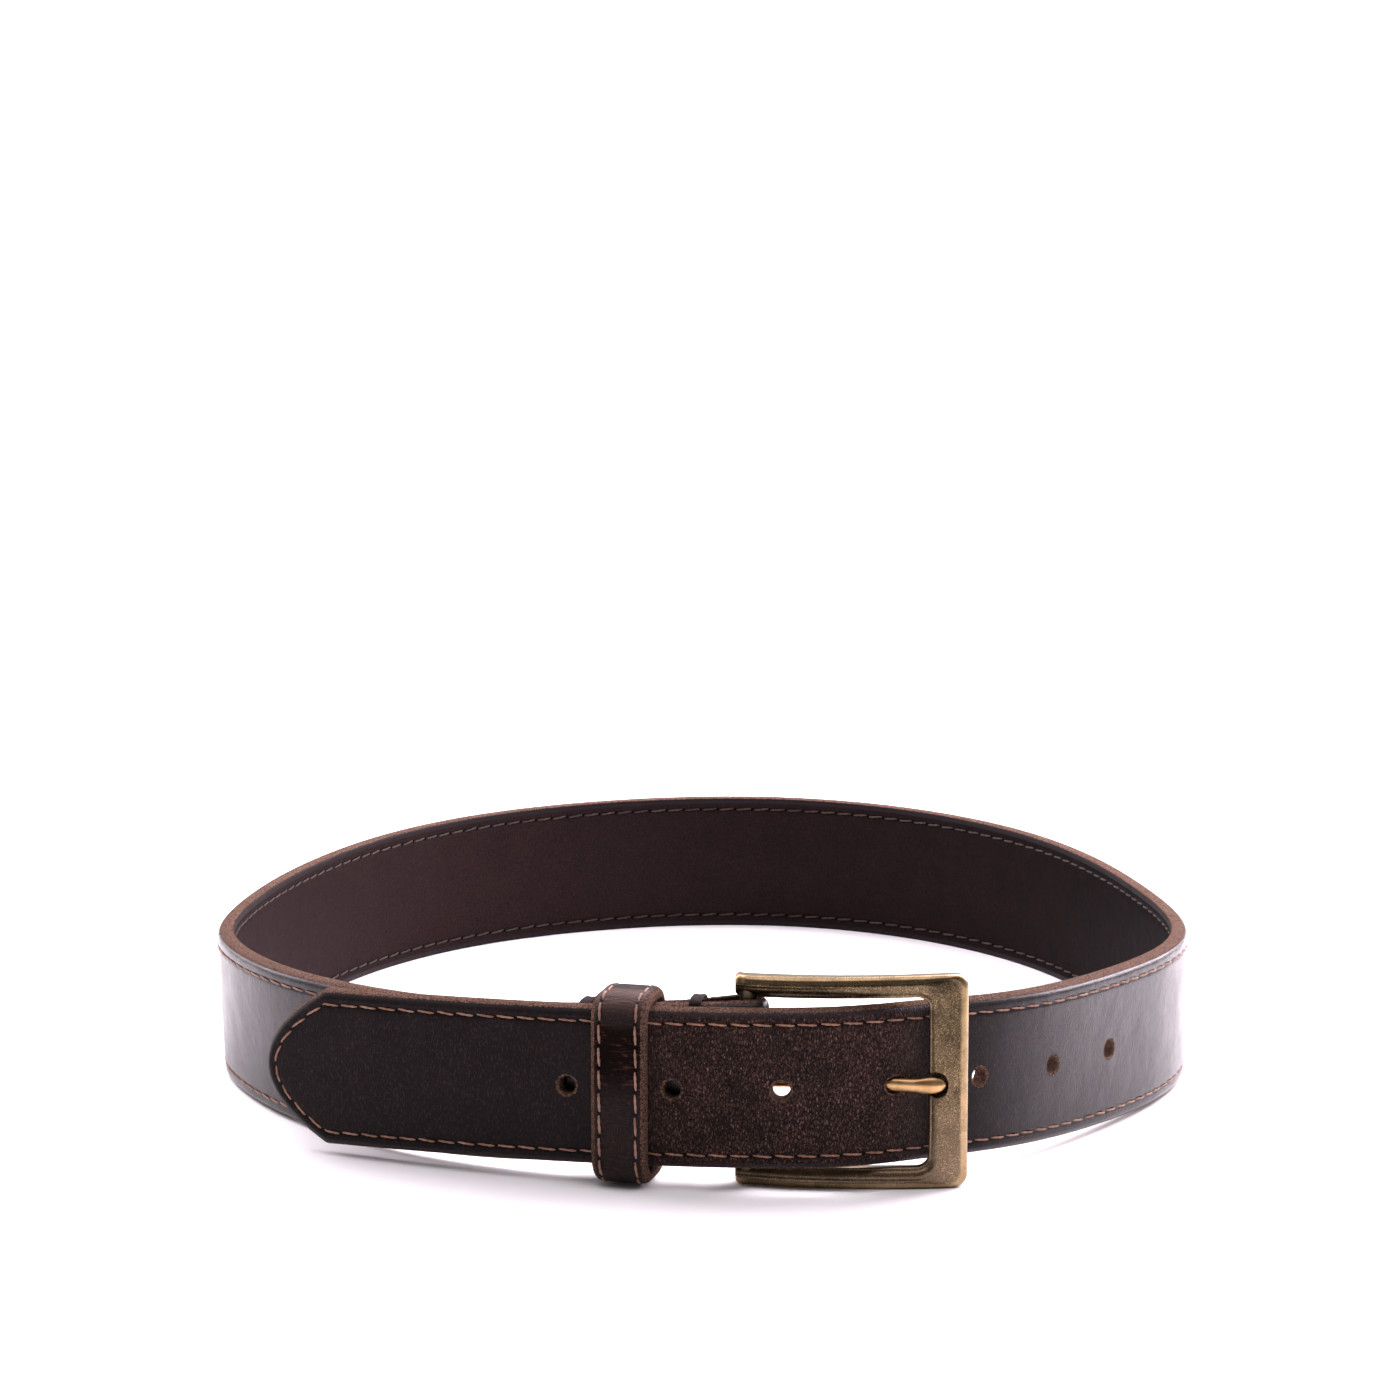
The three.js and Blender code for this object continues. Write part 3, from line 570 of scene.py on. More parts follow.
def strap_hole(shape, rows, columns, index):
    """One punched hole: both mouths, rounded, and the bore between them."""
    grain = hole_mouth(rows, columns, index, 0)
    flesh = [values[::-1] for values in hole_mouth(rows, columns, index, 1)]
    share = np.array([0.2, 0.4, 0.6, 0.8])[:, None]
    size = (len(share), grain[0].shape[1])
    bore = []
    for mouth, back in zip(grain[:2], flesh[:2]):
        bore.append((1 - share) * mouth[-1] + share * back[0] + RANDOM.normal(0, BORE_ROUGH, size))
    bore += [np.zeros(size), np.ones(size)]
    t, w, lift, raw = (np.concatenate(part) for part in zip(grain, bore, flesh))
    is_flesh = np.repeat([0.0, 1.0], [len(grain[0]) + len(share), len(flesh[0])])[:, None]
    depth = np.concatenate([np.zeros(len(grain[0])), share[:, 0], np.ones(len(flesh[0]))])[:, None]
    shape.add(place(t, w, depth, lift), grid_faces(*t.shape, wrap=True), **face_values(t, w, raw, is_flesh))


def strap_slot(shape, rows, columns):
    """The cut faces round the slot for the prong, through the leather of the fold."""
    low, high = slot_heights()
    inside = rows[(rows >= HEEL - SLOT_BACK - 1e-6) & (rows <= HEEL + FOLD_ARC + SLOT_BACK + 1e-6)]
    across = columns[(columns >= low - 1e-6) & (columns <= high + 1e-6)]
    t, w = (np.tile(values, (4, 1)) for values in ring_round(inside, across))
    depth = np.array([0, 0.3, 0.7, 1])[:, None] + np.zeros_like(t)
    lift = np.array([1, 0, 0, 1])[:, None] * np.where(depth > 0.5, face_lift(t, w, 1), face_lift(t, w, 0))
    shape.add(place(t, w, depth, lift), grid_faces(*t.shape, wrap=True), **face_values(t, w, 0.8))


def make_strap(material):
    shape = Shape("gap", "run", "edge", "along", "raw", "flesh")
    rows, columns = strap_rows(), strap_columns()
    for face in (0, 1):
        face_grid(shape, rows, columns, face)
    strap_wall(shape, rows, columns)
    for index in range(HOLE_COUNT):
        strap_hole(shape, rows, columns, index)
    strap_slot(shape, rows, columns)
    shape.build("strap_leather", material, "strap", "strap_leather", "strap")


# ---- stitches


def rope(shape, spine, above, radius, twist=1.7, lobes=0.2, sides=8, flat=0.8):
    """A short twisted thread along a row of points, flat to the leather, its ends drawn to a blunt point."""
    lift_way = unit(above - spine)
    across = np.cross(unit(np.gradient(spine, axis=0)), lift_way)
    length = distances(spine)
    share = length / length[-1]
    swell = np.sqrt(np.clip(1 - np.abs(2 * share - 1) ** 8, 0.05, 1)) * radius
    turn = np.arange(sides) / sides * 2 * math.pi
    ply = 1 + lobes * np.cos(2 * (turn[None, :] - length[:, None] / twist * math.pi))
    ring = swell[:, None] * ply
    side = (ring * np.cos(turn))[..., None] * across[:, None, :]
    rise = (ring * np.sin(turn) * flat)[..., None] * lift_way[:, None, :]
    shape.tube(spine[:, None, :] + side + rise)


STITCH_GAP = 0.24  # from a needle hole to where the thread shows
STITCH_SLANT = 0.2
STITCH_RISE = 0.34
STITCH_SINK = 0.12  # its ends under the floor of the groove
KEEPER_THREAD_RADIUS = 0.31
KEEPER_STITCH_SINK = 0.36


def face_stitch(shape, number, side, face):
    """One stitch of the strap, from one needle hole to the next, rising out of the groove."""
    share = np.linspace(0, 1, 13)
    slack = RANDOM.normal(0, 0.05, 3)
    run = (number + share) * STITCH_PITCH + STITCH_GAP * (1 - 2 * share) + slack[0]
    t, w = stitch_point(run, side)
    ahead_t, ahead_w = stitch_point(run + 0.05, side)
    direction = unit(np.stack([ahead_t - t, ahead_w - w], -1))
    slant = (STITCH_SLANT + slack[1]) * (1 - 2 * share)
    t, w = t - direction[:, 1] * slant, w + direction[:, 0] * slant
    rise = (STITCH_RISE + slack[2] * 0.6) * np.sin(math.pi * share) ** 0.6 - GROOVE_DEPTH - STITCH_SINK
    way = -1 if face else 1
    spine = place(t, w, face, rise * way)
    rope(shape, spine, place(t, w, face, rise * way + way), THREAD_RADIUS)


def make_edge_threads(grain_material, flesh_material):
    last = RUN_SHOULDER + STITCH_LAST - STITCH_SHOULDER
    count = int(last / STITCH_PITCH)
    for face, side_name, material in ((0, "grain", grain_material), (1, "flesh", flesh_material)):
        shape = Shape()
        for side in (-1, 1):
            for number in range(count):
                face_stitch(shape, number, side, face)
        node = f"edge_thread_{side_name}_side"
        shape.build(f"stitches_{side_name}_side", material, "strap", "thread", node, weld=0)


# ---- keeper


def keeper_axes():
    """The middle of the leather inside the keeper, the directions along the strap, outwards and up, and
    half the depth of the room inside."""
    origin, along, out, up = route_frame(KEEPER_STATION)
    inner = station_at(route_value(KEEPER_STATION, 0), BUCKLE_END_START)
    apart = (route_frame(inner)[0] - origin) @ out
    back = tail_at(HEEL - inner)[1] - apart
    middle = origin + out * (STRAP_THICKNESS / 2 - back) / 2 + up * (HALF_WIDTH - KEEPER_DROP - KEEPER_SAG)
    return middle, along, out, up, (STRAP_THICKNESS / 2 + back) / 2 + KEEPER_ROOM


KEEPER_MIDDLE, KEEPER_ALONG, KEEPER_OUT, KEEPER_UP, KEEPER_INSIDE = keeper_axes()
KEEPER_HALF_DEPTH = KEEPER_INSIDE + KEEPER_THICKNESS
KEEPER_HALF_HEIGHT = HALF_WIDTH + KEEPER_EDGE_ROOM + KEEPER_THICKNESS
KEEPER_CORNERS = (5.6, 6.6)  # upper and lower
KEEPER_CROWN = 0.35  # how far the front stands out at its middle
KEEPER_GROOVE = (0.26, 0.55)  # depth, and half the width, of the groove that the stitches lie in


def keeper_path(share):
    """Points of the keeper's outer outline (out, up), its outward direction there and its whole length, for
    shares of the way round from the seam at the middle of its back."""
    upper, lower = KEEPER_CORNERS
    d, h = KEEPER_HALF_DEPTH, KEEPER_HALF_HEIGHT
    points = [np.array([[-d, 0.0]])]
    corners = ((180, lower, -1, -1), (270, lower, 1, -1), (0, upper, 1, 1), (90, upper, -1, 1))
    for first, radius, side, way in corners:
        points.append(arc(first, first + 90, 13, radius, radius, side * (d - radius), way * (h - radius)))
    points = np.concatenate([*points, points[0]])
    run = distances(points)
    at = share * run[-1]
    fine = np.stack([np.interp(at, run, points[:, k]) for k in (0, 1)], -1)
    crown = KEEPER_CROWN * np.clip(1 - (fine[:, 1] / h) ** 2, 0, 1) * (fine[:, 0] > d - 0.01)
    fine[:, 0] += crown
    slope = unit(np.gradient(fine, axis=0))
    return fine, np.stack([slope[:, 1], -slope[:, 0]], -1), run[-1]


KEEPER_STITCHES = 22
KEEPER_PITCH = keeper_path(np.linspace(0, 1, 4))[2] / KEEPER_STITCHES


def keeper_profile():
    """The band's section (across, depth under the outer face) once round, and how raw it is there."""
    half, thick = KEEPER_WIDTH / 2, KEEPER_THICKNESS
    reach, drop = 2.2, 2.0
    turn = np.linspace(0, math.pi / 2, 12)
    right = [(half - reach + reach * math.sin(a), drop - drop * math.cos(a)) for a in turn]
    under = [(half, drop + (thick - drop) * 0.5), (half - 0.15, thick - 0.2), (half - 0.45, thick)]
    flat = np.linspace(reach - half, half - reach, 34)[1:-1]
    stitch = half - KEEPER_STITCH_INSET
    groove, spread = KEEPER_GROOVE
    outer = [(x, groove * math.exp(-(((abs(x) - stitch) / spread) ** 2))) for x in flat]
    inner = [(x, thick) for x in np.linspace(half - 0.4, 0.4 - half, 10)[1:-1]]
    left = [(-x, y) for x, y in under[::-1] + right[::-1]]
    ring = np.array([*outer, *right, *under, *inner, *left])
    raw = smooth(np.abs(ring[:, 0]), half - 1.5, half - 1.0)
    return ring, raw


def keeper_point(outline, normal, across, depth):
    flat = outline - normal * np.asarray(depth)[..., None]
    sideways = KEEPER_ALONG * np.asarray(across)[..., None]
    return KEEPER_MIDDLE + sideways + KEEPER_OUT * flat[..., :1] + KEEPER_UP * flat[..., 1:]


def make_keeper(leather_material, thread_material, wire_material):
    ring, raw = keeper_profile()
    total = KEEPER_STITCHES * KEEPER_PITCH
    seam = KEEPER_SEAM / 2 / total
    outline, normal, _ = keeper_path(np.linspace(seam, 1 - seam, 300))
    wobble = RANDOM.normal(0, 0.04, (len(outline), len(ring))) * raw
    points = keeper_point(outline[:, None], normal[:, None], ring[None, :, 0], ring[None, :, 1] - wobble)
    shape = Shape("gap", "run", "edge", "along", "raw")
    stitch = KEEPER_WIDTH / 2 - KEEPER_STITCH_INSET
    gap = np.where(ring[:, 1] < 0.6, np.abs(ring[:, 0]) - stitch, FAR) + np.zeros((len(outline), 1))
    run = np.linspace(0, total, len(outline))[:, None] + np.zeros(len(ring))
    edge = KEEPER_WIDTH / 2 - np.abs(ring[:, 0]) + np.zeros((len(outline), 1))
    height = np.where(outline[:, :1] > 0, outline[:, 1:], 0) + np.zeros(len(ring))
    shape.tube(points, gap=gap, run=run, edge=edge, along=height, raw=raw + np.zeros((len(outline), 1)))
    shape.build("keeper_leather", leather_material, "keeper", "keeper_leather", "keeper_loop")
    for side, name in ((-1, "left"), (1, "right")):
        keeper_stitches(name, side * stitch, total, thread_material)
    make_staple(wire_material)


def keeper_stitches(name, across, total, material):
    shape = Shape()
    for number in range(KEEPER_STITCHES):
        share = np.linspace(0, 1, 14)
        slack = RANDOM.normal(0, 0.04, 3)
        run = (number + share) * KEEPER_PITCH + STITCH_GAP * (1 - 2 * share) + slack[0]
        outline, normal, _ = keeper_path(np.clip(run / total, 0, 1))
        bend = np.linspace(0.14, -0.14, len(share)) + slack[1]
        rise = STITCH_RISE * np.sin(math.pi * share) ** 0.6 - KEEPER_STITCH_SINK
        spine = keeper_point(outline, normal, across + bend, -rise)
        rope(shape, spine, keeper_point(outline, normal, across + bend, -rise - 1), KEEPER_THREAD_RADIUS)
    shape.build(f"keeper_stitches_{name}", material, "keeper", "thread", f"keeper_thread_{name}", weld=0)


def make_staple(material):
    """The wire staple across the keeper's seam: a crown with a leg bent down at each end."""
    face = -KEEPER_HALF_DEPTH
    crown = face - TOUCH_GAP - STAPLE_RADIUS
    half, bend = STAPLE_SPAN / 2, 0.5
    turn = np.linspace(0, math.pi / 2, 6)
    path = [(face + STAPLE_LEG, -half), (crown + bend, -half)]
    path += [(crown + bend - bend * math.sin(a), bend - half - bend * math.cos(a)) for a in turn[1:]]
    path += [(x, -y) for x, y in path[::-1]]
    spine = np.array([KEEPER_MIDDLE + KEEPER_OUT * x + KEEPER_UP * y for x, y in path])
    ahead = unit(np.gradient(spine, axis=0))
    side = unit(np.cross(ahead, KEEPER_ALONG))
    rise = np.cross(ahead, side)
    turn = np.arange(12) / 12 * 2 * math.pi
    ring = side[:, None] * np.cos(turn)[:, None] + rise[:, None] * np.sin(turn)[:, None]
    shape = Shape()
    shape.tube(spine[:, None] + ring * STAPLE_RADIUS)
    shape.build("staple_wire", material, "keeper", "steel", "keeper_staple", weld=0)


# ---- lacings of the fold


LACE_LOW = 0.1  # the lace is pulled into the lower edge, and stands proud of the upper one


def make_lacing(name, offset, material):
    """A flat waxed lace of two strands, tied round the buckle end and the folded end."""
    x = route_frame(KEEPER_STATION + offset)[0][0]
    station = station_at(x - SHIFT[0], BUCKLE_END_START)
    origin, along, out, up = route_frame(station)
    half = LACING_THICKNESS / 2
    inner = -tail_at(HEEL - station - LACING_WIDTH / 2)[1] - TOUCH_GAP - half
    front, bend = STRAP_THICKNESS / 2 - 0.3, 1.6
    low, high = LACE_LOW, STRAP_WIDTH + TOUCH_GAP + half
    middle, reach = (front + inner) / 2, (front - inner) / 2
    turn = np.linspace(0, math.pi / 2, 10)
    round_over = [(reach * math.sin(a) ** 0.7, high - bend + bend * math.cos(a) ** 0.8) for a in turn]
    over = [(middle + x, z) for x, z in round_over[::-1]] + [(middle - x, z) for x, z in round_over[1:]]
    under = [(x, low + bend - (z - high + bend)) for x, z in over[::-1]]
    down = [(inner, z) for z in np.linspace(high - bend, low + bend, 14)[1:-1]]
    path = np.array([*over, *down, *under])
    slope = unit(np.gradient(path, axis=0))
    normal = np.stack([-slope[:, 1], slope[:, 0]], -1)
    sides = np.arange(24) / 24 * 2 * math.pi
    across = LACING_WIDTH / 2 * np.sign(np.cos(sides)) * np.abs(np.cos(sides)) ** 0.8
    strands = 0.74 - 0.26 * np.cos(2 * math.pi * across / LACING_WIDTH)
    wobble = 1 + 0.06 * np.sin(np.arange(len(path)) * 1.9)
    flat = path[:, None] + normal[:, None] * (half * np.sin(sides) * strands * wobble[:, None])[..., None]
    shape = Shape()
    shape.tube(origin + out * flat[..., :1] + up * flat[..., 1:] + along * across[None, :, None])
    shape.build(f"lace_{name}", material, "strap", "lacing", f"fold_lacing_{name}", weld=0)


# ---- buckle

FRAME_MIDDLE = (FRAME_FRONT - FRAME_BACK) / 2
FRAME_HALF = (FRAME_FRONT + FRAME_BACK) / 2
OUTER_CORNER, INNER_CORNER = 3.4, 3.0
INNER_BEVEL = 2.6  # how far the sloping inner edge of the frame's face reaches
INNER_BEVEL_DROP = 1.15


def bow(along):
    return FRAME_BOW * (1 - ((along - FRAME_MIDDLE) / FRAME_HALF) ** 2)


def frame_out(along):
    """How far the middle of the frame's thickness stands out from the bar's axis."""
    return FRAME_SLOPE * along + bow(along) - bow(0.0)


def buckle_point(along, out, up):
    return np.stack(np.broadcast_arrays(BAR[0] + along, BAR[1] - out, up), -1)


def crowned(along, up):
    """How far the frame's face falls back towards its upper and lower bars."""
    part = (up - FRAME_HEIGHT / 2) / (FRAME_HEIGHT / 2)
    return FRAME_CROWN * part**2 * smooth(along, 4, 34)


def frame_outline():
    """Matching points of the outer and the inner outline round the frame, from one ear to the other, with the
    depth of the metal there."""
    inner_edge, top = FRAME_FRONT - FRONT_BAR_WIDTH, FRAME_HEIGHT + FRAME_FLARE
    bar, corner, front = 46, 17, 13  # points along a side bar, round a corner and up half the front bar

    def lower_half(x, z, radius, before):
        """A side bar, some points spread over its last stretch, its corner, and half the front bar."""
        side = np.linspace(-FRAME_BACK, inner_edge - INNER_CORNER, bar)
        spread = np.linspace(side[-1], x - radius, before + 2)[1:-1]
        turned = arc(-90, 0, corner, radius, radius, x - radius, z + radius)
        if not before:
            share = np.linspace(0, corner - 1, corner + 5)
            turned = np.stack([np.interp(share, np.arange(corner), turned[:, k]) for k in (0, 1)], -1)
        up = np.linspace(z + radius, top / 2, front + 1)[1:]
        return np.array([*((a, z) for a in (*side, *spread)), *turned, *((x, b) for b in up)])

    outer = lower_half(FRAME_FRONT, 0.0, OUTER_CORNER, 5)
    inner = lower_half(inner_edge, SIDE_BAR_HEIGHT, INNER_CORNER, 0)
    depth = [SIDE_BAR_DEPTH] * bar + np.linspace(SIDE_BAR_DEPTH, FRONT_BAR_DEPTH, corner + 5).tolist()
    depth += [FRONT_BAR_DEPTH] * front
    outer, inner = (np.vstack([half, upper_half(half)]) for half in (outer, inner))
    return outer, inner, np.array(depth + depth[-2::-1])


def upper_half(lower):
    """The lower half of an outline mirrored, and raised towards the front bar."""
    rise = FRAME_FLARE * np.maximum(lower[:, 0], 0) / FRAME_FRONT
    return np.stack([lower[:, 0], FRAME_HEIGHT + rise - lower[:, 1]], -1)[-2::-1]


def frame_profile(span, depth):
    """The bar's section once round: inset from the outer outline, height out from mid thickness, and wear."""
    half = depth / 2
    round_out, round_in, round_back = 1.5, 0.6, 0.7
    bevel, drop = INNER_BEVEL, INNER_BEVEL_DROP
    crown = 0.25

    def edge(first, radius, inset, height, wear, skip=0):
        return [(x, z, wear) for x, z in arc(first, first - 90, 7, radius, radius, inset, height)[skip:]]

    ring = edge(180, round_out, round_out, half - round_out, 0.9)
    for x in np.linspace(round_out, span - bevel, 6)[1:-1]:
        part = (x - round_out) / (span - bevel - round_out)
        ring.append((x, half + crown * math.sin(math.pi * part), 0.1))
    for part in np.linspace(0, 1, 8):
        ring.append((span - bevel + (bevel - round_in) * part, half - drop * part**2, 0.15 + 0.2 * part))
    ring += edge(90, round_in, span - round_in, half - drop - round_in, 0.5, 1)
    ring += edge(0, round_back, span - round_back, round_back - half, 0.3)
    ring += [(x, -half, 0.1) for x in np.linspace(span - round_back, round_back, 5)[1:-1]]
    ring += edge(-90, round_back, round_back, round_back - half, 0.3)
    return np.array(ring)


def make_buckle_frame(material):
    outer, inner, depth = frame_outline()
    sections, wear = [], []
    for outer_point, inner_point, thick in zip(outer, inner, depth):
        full = np.linalg.norm(inner_point - outer_point)
        span = SIDE_BAR_HEIGHT if thick == SIDE_BAR_DEPTH else full
        ring = frame_profile(span, thick)
        flat = outer_point + (inner_point - outer_point) * (ring[:, :1] / span)
        front = ring[:, 1] / thick + 0.5  # 0 at the back of the bar, 1 at its face
        out = frame_out(flat[:, 0]) + ring[:, 1] - crowned(flat[:, 0], flat[:, 1]) * front
        sections.append(buckle_point(flat[:, 0], out, flat[:, 1]))
        wear.append(ring[:, 2])
    first, last = rounded_end(sections[0]), rounded_end(sections[-1])
    shape = Shape("wear")
    wear = [wear[0]] * len(first) + wear[2:-2] + [wear[0]] * len(last)
    shape.tube([*first, *sections[2:-2], *last[::-1]], wear=np.array(wear))
    piece = shape.build("frame_brass", material, "buckle", "antique_brass", "buckle_frame")
    cut_notch(piece)


def rounded_end(ring, radius=1.3, steps=6):
    """Rings that shrink towards the middle of the bar as they reach its blunt end, the smallest first."""
    middle, half = (ring.max(0) + ring.min(0)) / 2, (ring.max(0) - ring.min(0)) / 2
    rounds = []
    for a in np.linspace(0, math.pi / 2, steps + 1)[:-1]:
        shrink = radius * (1 - math.cos(a))
        scale = 1 - np.array([0, shrink / half[1], shrink / half[2]])
        rounds.append(middle + (ring - middle) * scale + np.array([radius - radius * math.sin(a), 0, 0]))
    return rounds[::-1]


def subtract(piece, tool, bevel):
    """Cuts a tool out of a piece for good, eases the new edges and removes the tool."""
    cut = piece.modifiers.new("cut", "BOOLEAN")
    cut.operation, cut.object, cut.solver = "DIFFERENCE", tool, "EXACT"
    ease = piece.modifiers.new("ease", "BEVEL")
    ease.width, ease.segments = bevel * MM, 2
    ease.limit_method, ease.angle_limit = "ANGLE", math.radians(50)
    bpy.context.view_layer.update()
    evaluated = piece.evaluated_get(bpy.context.evaluated_depsgraph_get())
    mesh = bpy.data.meshes.new_from_object(evaluated)
    piece.modifiers.clear()
    old = piece.data
    piece.data = mesh
    mesh.name = old.name + "_cut"
    bpy.data.meshes.remove(old)
    tool_mesh = tool.data
    bpy.data.objects.remove(tool)
    bpy.data.meshes.remove(tool_mesh)
    mesh.polygons.foreach_set("use_smooth", [True] * len(mesh.polygons))


def cut_notch(piece):
    """The seat for the prong's tip in the front bar: a hollow with a round floor and a rounded far end."""
    inner_edge = FRAME_FRONT - FRONT_BAR_WIDTH
    face = frame_out(inner_edge) + FRONT_BAR_DEPTH / 2
    half, reach = NOTCH_HEIGHT / 2, NOTCH_LENGTH
    turn = np.linspace(0, math.pi, 20)
    shape = Shape()
    rings = []
    for part in (-2, 0, 0.3, 0.5, 0.65, 0.78, 0.88, 0.95, 1):
        along = part * reach
        shrink = math.sqrt(max(1 - max(part, 0) ** 4, 0.03))
        floor = NOTCH_DEPTH * shrink**0.7
        ring = [(half * shrink * math.cos(a), face - floor * math.sin(a)) for a in turn]
        ring += [(-half * shrink, face + 4), (half * shrink, face + 4)]
        rings.append([buckle_point(inner_edge + along, o, FRAME_HEIGHT / 2 + z) for z, o in ring])
    shape.tube(rings)
    subtract(piece, shape.object("notch_tool"), NOTCH_EASE)
    smooth_by_angle(piece, 40)


def smooth_by_angle(piece, degrees):
    mesh = piece.data
    sharp = math.radians(degrees)
    form = bmesh.new()
    form.from_mesh(mesh)
    for edge in form.edges:
        edge.smooth = not (len(edge.link_faces) == 2 and edge.calc_face_angle(0) > sharp)
    form.to_mesh(mesh)
    form.free()


def make_heel_bar(material):
    """The pin across the ears, with eased ends."""
    low, high = EAR_WALL, FRAME_HEIGHT - EAR_WALL
    ease = 0.35
    profile = [*arc(-90, 0, 5, ease, ease, BAR_RADIUS - ease, low + ease)]
    profile += [(BAR_RADIUS, z) for z in np.linspace(low + 2, high - 2, 24)]
    profile += [*arc(0, 90, 5, ease, ease, BAR_RADIUS - ease, high - ease)]
    around = np.arange(40) / 40 * 2 * math.pi
    rings = [[buckle_point(r * math.cos(a), r * math.sin(a), z) for a in around] for r, z in profile]
    shape = Shape()
    shape.tube(rings)
    shape.build("bar_pin", material, "buckle", "steel", "heel_bar")


# ---- prong

# Along, out, half height and half thickness, from the eye to the point.
PRONG_SHAPE = (
    (3.4, 1.6, 1.55, 1.1),
    (7, 1.6, 1.55, 1.3),
    (16, 2.6, 1.55, 1.25),
    (26, 3.5, 1.5, 1.15),
    (32, 4.75, 1.6, 1.1),
    (36, 5.75, 1.6, 1.1),
    (38.5, 6.15, 1.6, 1.1),
    (41, 6.35, 1.9, 1.15),
    (42.6, 6.3, 2.0, 1.1),
    (44.2, 6.1, 1.75, 0.95),
    (45.6, 5.9, 1.05, 0.6),
    (46.2, 5.8, 0.25, 0.25),
)


def make_prong(material):
    keys = np.array(PRONG_SHAPE, float)
    root, neck, point = keys[0, 0], keys[5, 0], keys[-1, 0]
    along = np.concatenate([np.linspace(root, neck, 40)[:-1], np.linspace(neck, point, 44)])
    rows = np.stack([along, *(soft_interp(along, keys[:, 0], keys[:, k]) for k in (1, 2, 3))], -1)
    turn = np.arange(28) / 28 * 2 * math.pi
    shape = Shape()
    rings = []
    for a, out, tall, thick in rows:
        ridge = smooth(a, 40, 44) * 0.35  # the tip's sides are pinched a little
        z = tall * np.sign(np.cos(turn)) * np.abs(np.cos(turn)) ** (1 + ridge)
        rings.append(buckle_point(a, out + thick * np.sin(turn), FRAME_HEIGHT / 2 + z))
    shape.tube(rings)
    shape.build("prong_bronze", material, "prong", "bright_brass", "prong")
    make_prong_eye(material)


def soft_interp(x, keys, values):
    """Through the key values without sharp turns."""
    slope = np.gradient(values, keys)
    i = np.clip(np.searchsorted(keys, x) - 1, 0, len(keys) - 2)
    h = keys[i + 1] - keys[i]
    f = (x - keys[i]) / h
    a, b = values[i], values[i + 1]
    return (
        a * (1 + 2 * f) * (1 - f) ** 2 + slope[i] * h * f * (1 - f) ** 2
        + b * f**2 * (3 - 2 * f) + slope[i + 1] * h * f**2 * (f - 1)
    )


def make_prong_eye(material):
    """The eye that turns on the bar: a rounded ring, joined to the prong's root."""
    inner, outer, half = BAR_RADIUS + TOUCH_GAP, PRONG_EYE_RADIUS, PRONG_HEIGHT / 2
    ease = 0.4
    out, back, up = outer - ease, inner + ease, half - ease
    ring = []
    for first, r, z in ((90, out, up), (0, out, -up), (-90, back, -up), (-180, back, up)):
        ring += [*arc(first, first - 90, 4, ease, ease, r, z + FRAME_HEIGHT / 2)]
    around = np.arange(48) / 48 * 2 * math.pi
    rings = np.array([[buckle_point(r * math.cos(a), r * math.sin(a), z) for r, z in ring] for a in around])
    shape = Shape()
    shape.add(rings, closed_grid(*rings.shape[:2]))
    shape.build("prong_eye", material, "prong", "bright_brass")


def closed_grid(rows, columns):
    """Quads over a grid that closes on itself both ways."""
    faces = grid_faces(rows + 1, columns, wrap=True)
    return np.where(faces >= rows * columns, faces - rows * columns, faces)


# ---- materials


def srgb(red, green, blue):
    """A colour given in 0-255 display values, as linear light."""
    values = [v / 255 for v in (red, green, blue)]
    return (*(v / 12.92 if v <= 0.04045 else ((v + 0.055) / 1.055) ** 2.4 for v in values), 1.0)


